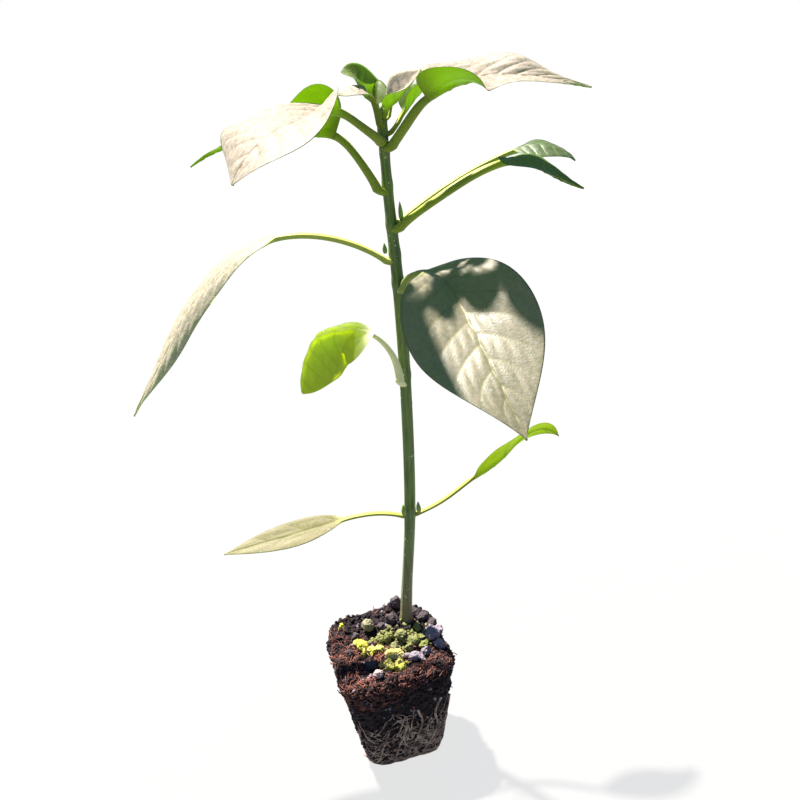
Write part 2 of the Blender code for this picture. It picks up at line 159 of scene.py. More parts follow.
def bumpOf(tree, height, depth, strength=1.0, after=None):
    made = addNode(tree, "ShaderNodeBump")
    feed(tree, made.inputs["Height"], height)
    made.inputs["Distance"].default_value = depth
    made.inputs["Strength"].default_value = strength
    if after is not None:
        tree.links.new(after, made.inputs["Normal"])
    return made.outputs["Normal"]


def markOf(tree, name):
    return addNode(tree, "ShaderNodeAttribute", attribute_name=name).outputs["Fac"]


def newFinish(name):
    material = bpy.data.materials.new(name)
    material.use_nodes = True
    tree = material.node_tree
    where = addNode(tree, "ShaderNodeTexCoord").outputs["Object"]
    return material, tree, tree.nodes["Principled BSDF"], where


def setShader(shader, **values):
    for key, value in values.items():
        socket = shader.inputs[key.replace("_", " ")]
        socket.default_value = (*value, 1.0) if isinstance(value, tuple) else value


# Finishes
# The pale cream colour over the upper side is partly the leaf's waxy bloom and partly painted sun glare.
leafLook = dict(
    deep=(0.042, 0.055, 0.040), green=(0.068, 0.074, 0.050), waxAndGlare=(0.215, 0.170, 0.130),
    waxAndGlareShare=0.60, vein=(0.15, 0.15, 0.04), under=(0.06, 0.10, 0.02),
    underVein=(0.10, 0.14, 0.04), speck=(0.24, 0.28, 0.28), through=(0.55, 0.80, 0.005),
    throughVein=(0.36, 0.56, 0.005), throughShare=0.26, stalk=(0.145, 0.200, 0.022),
    stalkPaintedLight=(0.34, 0.35, 0.075), sheen=0.16, gloss=0.35,
)
leafKinds = dict(
    matureLeaf=dict(),
    hangingLeaf=dict(
        through=(0.80, 0.92, 0.004), throughVein=(0.66, 0.80, 0.004), throughShare=0.66,
        waxAndGlare=(0.16, 0.20, 0.16), waxAndGlareShare=0.25, under=(0.10, 0.15, 0.002), sheen=0.03, gloss=0.10,
        # Painted highlight: both stalk colours are near white, standing in for sun glare on this stalk.
        stalk=(0.55, 0.56, 0.32), stalkPaintedLight=(0.85, 0.80, 0.62)),
    longLeaf=dict(
        # Painted light: this leaf's brighter cream colour stands in for sun that reaches it only at a
        # grazing angle.
        throughShare=0.40, waxAndGlare=(0.52, 0.41, 0.355), waxAndGlareShare=0.74, stalk=(0.18, 0.24, 0.02),
        stalkPaintedLight=(0.42, 0.42, 0.08)),
    shadyLeaf=dict(
        waxAndGlareShare=0.10, green=(0.028, 0.055, 0.018), deep=(0.020, 0.044, 0.018),
        vein=(0.07, 0.12, 0.02), stalk=(0.16, 0.22, 0.02), sheen=0.05, gloss=0.25),
    stripLeaf=dict(
        waxAndGlareShare=0.05, green=(0.055, 0.110, 0.010), deep=(0.040, 0.085, 0.010),
        vein=(0.10, 0.17, 0.02), stalk=(0.16, 0.22, 0.02), sheen=0.03, gloss=0.12,
        under=(0.08, 0.14, 0.002)),
    freshLeaf=dict(
        waxAndGlareShare=0.10, green=(0.050, 0.095, 0.012), deep=(0.034, 0.066, 0.010),
        through=(0.52, 0.80, 0.001), throughVein=(0.38, 0.62, 0.001), throughShare=0.36,
        sheen=0.03, gloss=0.10, under=(0.07, 0.11, 0.002)),
    youngLeaf=dict(
        # Painted glare: the near-white cream and pinkish veins are partly the leaf's wax, mostly painted
        # sun glare.
        waxAndGlare=(0.37, 0.295, 0.26), waxAndGlareShare=0.86, vein=(0.20, 0.14, 0.10), sheen=0.06,
        gloss=0.10, under=(0.07, 0.11, 0.002), through=(0.50, 0.78, 0.001), throughShare=0.34),
    seedLeaf=dict(
        waxAndGlare=(0.26, 0.20, 0.12), waxAndGlareShare=0.6, through=(0.66, 0.84, 0.004),
        under=(0.07, 0.09, 0.010), stalk=(0.15, 0.17, 0.02), throughShare=0.36, sheen=0.06,
        gloss=0.12),
)


def leafFinish(name, changes):
    look = {**leafLook, **changes}
    material, tree, shader, where = newFinish(name)
    upper, vein, stalk = (markOf(tree, mark) for mark in ("upper", "vein", "stalk"))
    broad = noiseOf(tree, where, 85.0, 4.0)
    fine = noiseOf(tree, where, 900.0, 3.0)
    areoles = cellsOf(tree, where, 1150.0, "DISTANCE_TO_EDGE")
    body = mixOf(tree, rangeOf(tree, broad, 0.3, 0.7), look["deep"], look["green"])
    body = mixOf(tree, rangeOf(tree, areoles, 0.0, 0.16, 0.35, 0.0), body, look["vein"])
    # Painted glare: a pale cream colour mixed over the upper side, partly the leaf's wax.
    waxAndGlareMask = times(tree, rangeOf(tree, fine, 0.25, 0.75, 0.6, 1.3), look["waxAndGlareShare"])
    body = mixOf(tree, waxAndGlareMask, body, look["waxAndGlare"])
    top = mixOf(tree, times(tree, vein, 0.6), body, look["vein"])
    speckSpot = rangeOf(tree, cellsOf(tree, where, 420.0), 0.10, 0.17, 1.0, 0.0)
    speckPlace = rangeOf(tree, noiseOf(tree, where, 240.0, 1.0), 0.52, 0.60)
    speck = times(tree, times(tree, speckSpot, speckPlace), 0.75)
    top = mixOf(tree, speck, top, look["speck"])
    below = mixOf(tree, times(tree, vein, 0.7), look["under"], look["underVein"])
    colour = mixOf(tree, upper, below, top)
    # Painted highlight: the stalk's upper side takes a paler, sunlit colour.
    stalkTone = mixOf(tree, times(tree, upper, 0.75), look["stalk"], look["stalkPaintedLight"])
    colour = mixOf(tree, stalk, colour, stalkTone)
    feed(tree, shader.inputs["Base Color"], colour)
    relief = mathOf(tree, "ADD", areoles, times(tree, fine, 0.5))
    bump = bumpOf(tree, relief, 0.00012, 0.5)
    feed(tree, shader.inputs["Normal"], bump)
    roughness = rangeOf(tree, fine, 0.3, 0.7, 0.42, 0.58)
    feed(tree, shader.inputs["Roughness"], roughness)
    setShader(shader, Specular_IOR_Level=look["gloss"], Sheen_Weight=look["sheen"], Sheen_Roughness=0.45,
              Sheen_Tint=(1.0, 0.90, 0.84))
    through = addNode(tree, "ShaderNodeBsdfTranslucent")
    tint = mixOf(tree, vein, look["through"], look["throughVein"])
    tint = mixOf(tree, rangeOf(tree, areoles, 0.0, 0.12, 0.45, 0.0), tint, look["throughVein"])
    feed(tree, through.inputs["Color"], tint)
    feed(tree, through.inputs["Normal"], bump)
    mix = addNode(tree, "ShaderNodeMixShader")
    share = rangeOf(tree, stalk, 0.0, 1.0, look["throughShare"], 0.12)
    feed(tree, mix.inputs[0], share)
    tree.links.new(shader.outputs[0], mix.inputs[1])
    tree.links.new(through.outputs[0], mix.inputs[2])
    tree.links.new(mix.outputs[0], tree.nodes["Material Output"].inputs["Surface"])
    return material


def stemFinish():
    look = dict(dark=(0.034, 0.074, 0.008), green=(0.080, 0.142, 0.014),
                foot=(0.150, 0.100, 0.060), ridge=(0.12, 0.18, 0.022), speck=(0.45, 0.50, 0.46))
    material, tree, shader, where = newFinish("ribbedStem")
    lift = addNode(tree, "ShaderNodeSeparateXYZ")
    feed(tree, lift.inputs[0], where)
    stretch = addNode(tree, "ShaderNodeMapping")
    feed(tree, stretch.inputs["Vector"], where)
    stretch.inputs["Scale"].default_value = (1.0, 1.0, 0.12)
    streaks = noiseOf(tree, stretch.outputs[0], 1300.0, 3.0)
    blotch = noiseOf(tree, where, 160.0, 3.0)
    body = mixOf(tree, rangeOf(tree, streaks, 0.3, 0.7), look["dark"], look["green"])
    body = mixOf(tree, times(tree, markOf(tree, "ridge"), 0.55), body, look["ridge"])
    foot = rangeOf(tree, lift.outputs["Z"], 0.040, 0.085, 0.75, 0.0)
    body = mixOf(tree, times(tree, foot, rangeOf(tree, blotch, 0.2, 0.8, 0.6, 1.2)),
                 body, look["foot"])
    spot = rangeOf(tree, cellsOf(tree, where, 700.0), 0.12, 0.2, 1.0, 0.0)
    place = rangeOf(tree, noiseOf(tree, where, 300.0, 1.0), 0.55, 0.62)
    body = mixOf(tree, times(tree, spot, place), body, look["speck"])
    feed(tree, shader.inputs["Base Color"], body)
    feed(tree, shader.inputs["Normal"], bumpOf(tree, streaks, 0.00015, 0.6))
    feed(tree, shader.inputs["Roughness"], rangeOf(tree, blotch, 0.3, 0.7, 0.38, 0.55))
    setShader(shader, Specular_IOR_Level=0.4, Sheen_Weight=0.10, Sheen_Roughness=0.5,
              Sheen_Tint=(0.9, 1.0, 0.6))
    return material


def budFinish():
    material, tree, shader, where = newFinish("tenderBud")
    tone = mixOf(tree, noiseOf(tree, where, 500.0), (0.08, 0.18, 0.01), (0.16, 0.25, 0.02))
    feed(tree, shader.inputs["Base Color"], tone)
    setShader(shader, Roughness=0.45, Subsurface_Weight=0.25, Subsurface_Scale=0.001)
    return material


def peatFinish():
    look = dict(black=(0.005, 0.0028, 0.004), brown=(0.014, 0.007, 0.008),
                rust=(0.085, 0.032, 0.023), ash=(0.06, 0.05, 0.05))
    material, tree, shader, where = newFinish("moistPeat")
    broad = noiseOf(tree, where, 120.0, 4.0, 0.6)
    crumbs = noiseOf(tree, where, 700.0, 5.0, 0.65)
    cells = cellsOf(tree, where, 900.0)
    body = mixOf(tree, rangeOf(tree, crumbs, 0.35, 0.65), look["black"], look["brown"])
    crest = rangeOf(tree, mathOf(tree, "ADD", crumbs, times(tree, broad, 0.4)), 0.72, 0.95)
    # The rust is the fibres' own colour, but it shows only where the mark says the peat lay in light:
    # painted light at the front, painted shade (black) elsewhere.
    crest = times(tree, crest, markOf(tree, "rustyLitPeat"))
    body = mixOf(tree, crest, body, look["rust"])
    flecks = rangeOf(tree, cellsOf(tree, where, 520.0), 0.10, 0.16, 1.0, 0.0)
    flecks = times(tree, flecks, rangeOf(tree, broad, 0.5, 0.6))
    body = mixOf(tree, times(tree, flecks, 0.6), body, look["ash"])
    feed(tree, shader.inputs["Base Color"], body)
    height = mathOf(tree, "ADD", crumbs, times(tree, cells, 0.6))
    feed(tree, shader.inputs["Normal"], bumpOf(tree, height, 0.0007, 0.9))
    setShader(shader, Roughness=0.93, Specular_IOR_Level=0.25)
    return material


def mineralFinish(name, pale, shade, tint, tintShare):
    material, tree, shader, where = newFinish(name)
    pits = cellsOf(tree, where, 1500.0)
    tone = mixOf(tree, noiseOf(tree, where, 420.0, 4.0), shade, pale)
    tone = mixOf(tree, rangeOf(tree, pits, 0.0, 0.35, 0.55, 0.0), tone, shade)
    cover = rangeOf(tree, noiseOf(tree, where, 260.0, 3.0), 0.35, 0.65, 0.0, tintShare)
    tone = mixOf(tree, cover, tone, tint)
    feed(tree, shader.inputs["Base Color"], tone)
    feed(tree, shader.inputs["Normal"], bumpOf(tree, pits, 0.0003, 0.8))
    setShader(shader, Roughness=0.85, Specular_IOR_Level=0.3)
    return material


def plainFinish(name, first, second, scale, rough=0.8, through=0.0):
    material, tree, shader, where = newFinish(name)
    grain = noiseOf(tree, where, scale, 3.0)
    feed(tree, shader.inputs["Base Color"], mixOf(tree, rangeOf(tree, grain, 0.3, 0.7), first, second))
    feed(tree, shader.inputs["Normal"], bumpOf(tree, grain, 0.0001, 0.5))
    setShader(shader, Roughness=rough, Specular_IOR_Level=0.3, Subsurface_Weight=through,
              Subsurface_Scale=0.001)
    return material


finishes = {name: leafFinish(name, changes) for name, changes in leafKinds.items()}
finishes.update(
    stem=stemFinish(),
    bud=budFinish(),
    peat=peatFinish(),
    crumb=plainFinish("peatCrumb", (0.014, 0.006, 0.005), (0.13, 0.042, 0.030), 260.0, 0.95),
    fibre=plainFinish("peatFibre", (0.035, 0.013, 0.010), (0.24, 0.085, 0.052), 300.0, 0.85),
    root=plainFinish("paleRoot", (0.060, 0.034, 0.024), (0.30, 0.225, 0.165), 320.0, 0.75, 0.1),
    cleanGrain=mineralFinish("cleanPerlite", (0.26, 0.225, 0.25), (0.060, 0.045, 0.058),
                             (0.11, 0.088, 0.115), 0.6),
    creamGrain=mineralFinish("creamPerlite", (0.22, 0.20, 0.13), (0.10, 0.09, 0.06),
                             (0.14, 0.15, 0.06), 0.5),
    honeyGrain=mineralFinish("honeyPerlite", (0.52, 0.42, 0.20), (0.28, 0.20, 0.05),
                             (0.42, 0.37, 0.05), 0.7),
    pinkGrain=mineralFinish("pinkPerlite", (0.36, 0.29, 0.27), (0.14, 0.09, 0.08),
                            (0.26, 0.20, 0.18), 0.5),
    mossyGrain=mineralFinish("mossyPerlite", (0.50, 0.44, 0.14), (0.20, 0.17, 0.02),
                             (0.30, 0.31, 0.010), 0.75),
    algaeGrain=mineralFinish("algaeGrain", (0.20, 0.19, 0.09), (0.040, 0.046, 0.012),
                             (0.095, 0.115, 0.010), 0.7),
    gritGrain=mineralFinish("darkGrit", (0.060, 0.045, 0.050), (0.018, 0.012, 0.014),
                            (0.035, 0.025, 0.028), 0.5),
    speckDust=plainFinish("saltSpeck", (0.30, 0.34, 0.32), (0.50, 0.54, 0.52), 900.0),
)
print("finishes made")


# Shapes shared by the plant's parts
stemLine = dict(
    z=(20.0, 30.0, 41.0, 85.0, 125.0, 160.0, 185.0, 209.0),
    x=(6.0, 6.0, 6.7, 11.9, 14.5, 15.5, 15.3, 15.6),
    y=(8.5, 8.5, 8.0, 6.0, 5.0, 4.0, 3.5, 3.0),
    radiusZ=(20.0, 30.0, 41.0, 46.0, 60.0, 90.0, 130.0, 160.0, 185.0, 206.0, 209.0),
    radius=(1.6, 2.6, 2.5, 2.0, 1.75, 1.80, 1.75, 1.75, 1.5, 1.3, 0.7),
)


def smoothCurve(stations, values, at):
    stations = np.asarray(stations, float)
    values = np.asarray(values, float)
    at = np.atleast_1d(np.asarray(at, float))
    slope = np.gradient(values, stations)
    i = np.clip(np.searchsorted(stations, at, side="right") - 1, 0, len(stations) - 2)
    step = stations[i + 1] - stations[i]
    u = (at - stations[i]) / step
    near = (2 * u**3 - 3 * u**2 + 1) * values[i] + (u**3 - 2 * u**2 + u) * step * slope[i]
    far = (3 * u**2 - 2 * u**3) * values[i + 1] + (u**3 - u**2) * step * slope[i + 1]
    return near + far


def ease(x):
    x = np.clip(x, 0.0, 1.0)
    return x * x * (3.0 - 2.0 * x)


def stemCentre(z):
    x = smoothCurve(stemLine["z"], stemLine["x"], z)
    y = smoothCurve(stemLine["z"], stemLine["y"], z)
    return np.stack([x, y, np.atleast_1d(np.asarray(z, float))], -1)


def stemRadius(z):
    return np.interp(z, stemLine["radiusZ"], stemLine["radius"])


def unit(vectors):
    return vectors / np.linalg.norm(vectors, axis=-1, keepdims=True)


def makeMesh(name, points, faces, material, marks=None):
    mesh = bpy.data.meshes.new(name)
    mesh.from_pydata((np.asarray(points) * mm).tolist(), [], faces)
    mesh.update()
    for mark, values in (marks or {}).items():
        layer = mesh.attributes.new(mark, "FLOAT", "POINT")
        layer.data.foreach_set("value", np.asarray(values, np.float32))
    mesh.polygons.foreach_set("use_smooth", [True] * len(mesh.polygons))
    mesh.materials.append(material)
    piece = bpy.data.objects.new(name, mesh)
    bpy.context.scene.collection.objects.link(piece)
    return piece


def ringFaces(rings, count, closeStart=True, closeEnd=True):
    # Quads between rings of count points; the last two points close the ends.
    faces = []
    for r in range(rings - 1):
        a, b = r * count, (r + 1) * count
        for k in range(count):
            n = (k + 1) % count
            faces.append((a + k, a + n, b + n, b + k))
    last = (rings - 1) * count
    for k in range(count):
        n = (k + 1) % count
        faces.append((n, k, rings * count))
        faces.append((last + k, last + n, rings * count + 1))
    return faces


def declare(piece, slot, *nodes):
    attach(piece, "root")
    if nodes:
        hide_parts(*nodes)


# Leaves, in millimetres and degrees
foldStations = (0.0, 0.3, 0.6, 1.0)
crease = 1.6  # a folded blade reaches its full slope this far from the rib
sheetThickness = 0.36
leaves = {
    "leaf_hanging_left": dict(
        piece="hangingLeftLeaf", kind="hangingLeaf", veins=6,
        height=130.8, stalk=18.0, blade=41.7, width=23.4, rod=1.1,
        pitch=(93, 48.7, 19.9, -38.9, -91.4), heading=(238.6, 181.2, 194.7, 129.5, 193.7),
        left=(5.9, -82.2, -82.4, -60.3), right=(5.6, -50.3, -17.1, -30.5),
        roll=(-22.7, -43.4, -17.9), curl=(15.4, 4), sides=(1.13, 0.47),
        widest=0.51, taper=0.42, wave=0.3,
    ),
    "leaf_front_right": dict(
        piece="frontRightLeaf", kind="matureLeaf", veins=7,
        height=159.5, stalk=10.0, blade=67.5, width=35.5, rod=1.2,
        pitch=(64, 12, -11, -26, -40), heading=(299, 320, 297, 283, 291),
        roll=(9, 13, 0), left=(17, 24, 4, 20), right=(18, 22, 2, 13),
        widest=0.444, taper=1.16,
    ),
    "leaf_long_left": dict(
        piece="longLeftLeaf", kind="longLeaf", veins=8,
        height=167.5, stalk=32.6, blade=72.4, width=20.8, rod=1.05,
        pitch=(40, 1.8, -20.4, -51.3, -52.9), heading=(186.4, 179.4, 173.1, 180.2, 197.9),
        left=(0.7, -11.6, -18.5, 4.8), right=(13.1, 16, 8.9, 4.1),
        roll=(6.8, -8.5, -14.4), curl=(-33, -13.2), sides=(0.78, 1.01),
        widest=0.31, taper=1.12, wave=0.4,
    ),
    "leaf_right_low": dict(
        piece="lowRightLeaf", kind="stripLeaf", veins=5,
        height=176.9, stalk=35.3, blade=26.3, width=13.9, rod=1.3,
        pitch=(36.1, 17.9, 11.6, -28.5, -23.5), heading=(-34, -3.7, -56.9, -37, -17.9),
        left=(35.2, 23.6, 27.3, 18.6), right=(15.8, -32.9, -18.1, 12.4),
        roll=(-5.1, -17, 7.3), curl=(-20.1, 19.5), sides=(0.96, 1.04),
        widest=0.37, taper=1.17,
    ),
    "leaf_right_high": dict(
        piece="highRightLeaf", kind="shadyLeaf", veins=5,
        height=178.1, stalk=37.9, blade=19.0, width=14.6, rod=1.0,
        pitch=(30.9, 18.9, 14.8, -14.3, -46.3), heading=(18.1, -0.3, -10.1, -16.6, -13.9),
        left=(-10.2, 3.1, -6.5, -10.4), right=(-23.8, -32.4, -28.4, -18.4),
        roll=(-3.2, 1.6, 8), curl=(5.2, 12.9), sides=(0.99, 1),
        widest=0.37, taper=1.11,
    ),
    "leaf_left_rear": dict(
        piece="rearLeftLeaf", kind="freshLeaf", veins=7,
        height=187.8, stalk=18.7, blade=41.9, width=24.5, rod=1.25,
        pitch=(67.1, 45.6, 8.8, -1, -32.4), heading=(201, 174, 185.3, 177.3, 175.3),
        left=(88.7, 53.2, 35.7, 10), right=(20.4, 20.1, 2.8, 5.6),
        roll=(2.2, -20, 0.6), curl=(-1.4, 4.7), sides=(1.15, 0.94),
        widest=0.16, taper=2.26,
    ),
    "leaf_top_right": dict(
        piece="topRightLeaf", kind="youngLeaf", veins=8,
        height=199.2, stalk=16.7, blade=45.5, width=23.5, rod=1.3,
        pitch=(43.5, 40.9, 19.9, -5.6, -17.1), heading=(-37.1, -24.5, 17.2, -16.7, -23),
        left=(38, 18.4, 35.2, 15.5), right=(62.3, -0.1, 3.8, 13.9),
        roll=(6.9, 17.9, 18.8), curl=(-12.7, 2), sides=(0.98, 1.03),
        widest=0.18, taper=1.46, wave=0.4,
    ),
    "leaf_left_front": dict(
        piece="frontLeftLeaf", kind="youngLeaf", veins=7,
        height=200.6, stalk=14.8, blade=46.7, width=34.0, rod=1.2,
        pitch=(26.6, 37.1, 4.4, -6.4, -60.1), heading=(249, 201.3, 236, 233, 199.4),
        left=(39.4, 35.6, -1.5, -6.3), right=(49.7, 19.7, 3.7, 4),
        roll=(10.5, -1.4, -3.8), curl=(6, -13.7), sides=(0.87, 1.21),
        widest=0.58, taper=0.83, wave=0.5,
    ),
    "leaf_small_right": dict(
        piece="smallRightLeaf", kind="freshLeaf", veins=4, small=True,
        height=202.5, stalk=6.5, blade=13.0, width=10.0, rod=0.7,
        pitch=(40, 54, 44, 33, 8), heading=(8, 18, 24, 28, 30),
        left=(50, 45, 35, 20), right=(60, 55, 45, 20), widest=0.38, taper=1.3,
    ),
    "leaf_small_left": dict(
        piece="smallLeftLeaf", kind="youngLeaf", veins=4, small=True,
        height=205.1, stalk=8.4, blade=8.5, width=11.0, rod=0.7,
        pitch=(78.4, 57, 31.1, 0.5, -19.2), heading=(251.3, 212, 194, 178, 172),
        left=(8.2, 2.2, 2.3, 13.1), right=(43.9, 19.7, 17.6, 12.2),
        roll=(-10.3, -6.5, -25.4), curl=(-12.1, -16.7), sides=(1.01, 1.01),
        widest=0.41, taper=1.2,
    ),
    "leaf_young_left": dict(
        piece="youngLeftLeaf", kind="freshLeaf", veins=4, small=True,
        height=205.7, stalk=4.2, blade=13.4, width=14.6, rod=0.65,
        pitch=(69.2, 82.2, 45.2, 70.1, -1.7), heading=(112, 122, 155, 175.5, 179.9),
        left=(59.9, 54.3, 20.6, 7.6), right=(53.8, 39.4, 30.6, 32.7),
        roll=(0.6, -5.9, -18.3), curl=(-12.8, 10.2), sides=(1.01, 1),
        widest=0.36, taper=0.67,
    ),
    "leaf_young_front": dict(
        piece="youngFrontLeaf", kind="youngLeaf", veins=4, small=True,
        height=207.2, stalk=1.6, blade=14.2, width=13.2, rod=0.6,
        pitch=(55.5, 55, 36.4, 43.6, 43), heading=(-63.6, -46.7, -32.4, -16.4, -14.3),
        left=(68.2, 54.6, 44.5, 25.6), right=(37.7, 32.4, 9.5, 8.3),
        roll=(8.2, 7.6, 16.6), curl=(13.7, -11.1), sides=(1.03, 0.99),
        widest=0.45, taper=1.03,
    ),
    "leaf_youngest": dict(
        piece="youngestLeaf", kind="youngLeaf", veins=3, small=True,
        height=206.5, stalk=2.5, blade=8.0, width=4.0, rod=0.5,
        pitch=(70, 78, 80, 72, 66), heading=(20, 20, 20, 20, 20),
        left=(50, 45, 35, 20), right=(50, 45, 35, 20), widest=0.35, taper=1.3,
    ),
    "cotyledon_left": dict(
        piece="leftSeedLeaf", kind="seedLeaf", veins=3,
        height=83.5, stalk=19.0, blade=41.0, width=10.0, rod=0.75,
        pitch=(20, -9, -14, -9, -9), heading=(181, 178, 177, 184, 186),
        roll=(-28, -28, -20), left=(10, 5, 5, 5), right=(10, 5, 5, 5),
        widest=0.42, taper=1.0,
    ),
    "cotyledon_right": dict(
        piece="rightSeedLeaf", kind="seedLeaf", veins=3,
        height=83.6, stalk=22.4, blade=34.8, width=12.2, rod=0.75,
        pitch=(14.7, 36.9, 24.8, 35.9, -55.5), heading=(5.9, -5.1, 10, 17.6, 16.5),
        left=(11.3, 17.9, 5.3, -3.6), right=(10.4, 16.9, -4.7, 9.6),
        roll=(-58.2, -46.1, -59.7), curl=(-7.8, -1.2), sides=(1.01, 1.01),
        widest=0.42, taper=1.01,
    ),
}


def leafFrames(leaf, s):
    stalk, blade = leaf["stalk"], leaf["blade"]
    stations = (0, 0.85 * stalk, stalk + 0.1 * blade, stalk + 0.5 * blade, stalk + blade)
    pitch = np.radians(smoothCurve(stations, leaf["pitch"], s))
    heading = np.radians(smoothCurve(stations, leaf["heading"], s))
    level = np.cos(pitch)
    along = np.stack([level * np.cos(heading), level * np.sin(heading), np.sin(pitch)], -1)
    out = np.array([math.cos(heading[0]), math.sin(heading[0]), 0.0])
    clear = stemRadius(leaf["height"]) + 0.35 + leaf["rod"] * math.sin(abs(pitch[0]))
    start = stemCentre(leaf["height"])[0] + out * clear
    steps = (along[1:] + along[:-1]) / 2 * np.diff(s)[:, None]
    centre = np.concatenate([[start], start + np.cumsum(steps, axis=0)])
    side = np.stack([-np.sin(heading), np.cos(heading), 0 * heading], -1)
    up = np.cross(along, side)
    t = np.clip((s - stalk) / blade, 0, 1)
    roll = np.radians(smoothCurve((0.0, 0.5, 1.0), leaf.get("roll", (0, 0, 0)), t))
    roll = (roll * ease((s - 0.85 * stalk) / (0.15 * stalk + 0.1 * blade)))[:, None]
    turnedSide = np.cos(roll) * side + np.sin(roll) * up
    return centre, turnedSide, np.cos(roll) * up - np.sin(roll) * side, along, out


def bladeSheet(leaf, t, v):
    # Sideways and upward distance from the midrib for each station and column.
    aside, rise, wide = (np.zeros(v.shape) for _ in range(3))
    steps = (np.arange(24) + 0.5) / 24
    columns = v.shape[1] // 2
    for k, sign in ((0, 1), (1, -1)):
        part = slice(columns, None) if sign > 0 else slice(0, columns)
        fold = smoothCurve(foldStations, leaf["left" if sign > 0 else "right"], t)
        widest, taper = leaf["widest"], leaf["taper"]
        swell = taper * widest / (1 - widest)
        shape = (t / widest) ** swell * ((1 - t) / (1 - widest)) ** taper
        half = leaf["width"] / 2 * shape * leaf.get("sides", (1, 1))[k]
        half = np.maximum(half, leaf["rod"] * (1 - t) ** 0.7 + 0.25)
        reach = np.abs(v[:, part])
        angle = np.radians(fold[:, None, None] + leaf.get("curl", (0, 0))[k]
                           * steps * reach[:, :, None])
        angle = angle * ease(steps * (reach * half[:, None])[:, :, None] / crease)
        aside[:, part] = np.cos(angle).mean(2) * reach * half[:, None] * sign
        ripple = np.sin(2 * math.pi * (2 * t + (0.25 if sign > 0 else 0.0)))
        ripple = leaf.get("wave", 0) * (ripple * np.sin(math.pi * t))[:, None] * reach**2
        rise[:, part] = np.sin(angle).mean(2) * reach * half[:, None] + ripple
        wide[:, part] = half[:, None]
    return aside, rise, wide


def bladeRelief(leaf, t, v, wide):
    # Where the side veins run, and how far the flesh swells between them.
    reach = np.abs(v)
    left = v > 0
    slant = 0.30 if leaf["width"] / leaf["blade"] > 0.5 else 0.20
    level = t[:, None] - slant * reach**1.2 * (1 - 0.45 * t[:, None])
    order = (level - 0.03) * leaf["veins"] / 0.92 + np.where(left, 0.42, 0.0)
    away = np.abs(order - np.round(order)) / leaf["veins"] * leaf["blade"] * 0.92
    present = ease((level + 0.02) / 0.05) * (1 - ease((reach - 0.72) / 0.28))
    line = 0.16 + 0.22 * (1 - reach)
    side = np.exp(-((away / line) ** 2)) * present
    rib = np.exp(-((reach * wide / (0.55 * leaf["rod"] * (1 - 0.75 * t[:, None]) + 0.1)) ** 2))
    between = np.sin(math.pi * (order % 1.0)) ** 2
    across = reach * wide / 3.1 + 0.5 * np.floor(order)
    puff = between**0.7 * (0.45 + 0.55 * np.sin(math.pi * across) ** 2)
    cross = np.exp(-(((across - np.round(across)) * 3.1 / 0.2) ** 2)) * between * 0.45
    fade = ease(t / 0.08)[:, None] * ease((1 - t) / 0.1)[:, None] * (1 - reach**6)
    return np.maximum(side, cross) * fade, rib, puff * fade


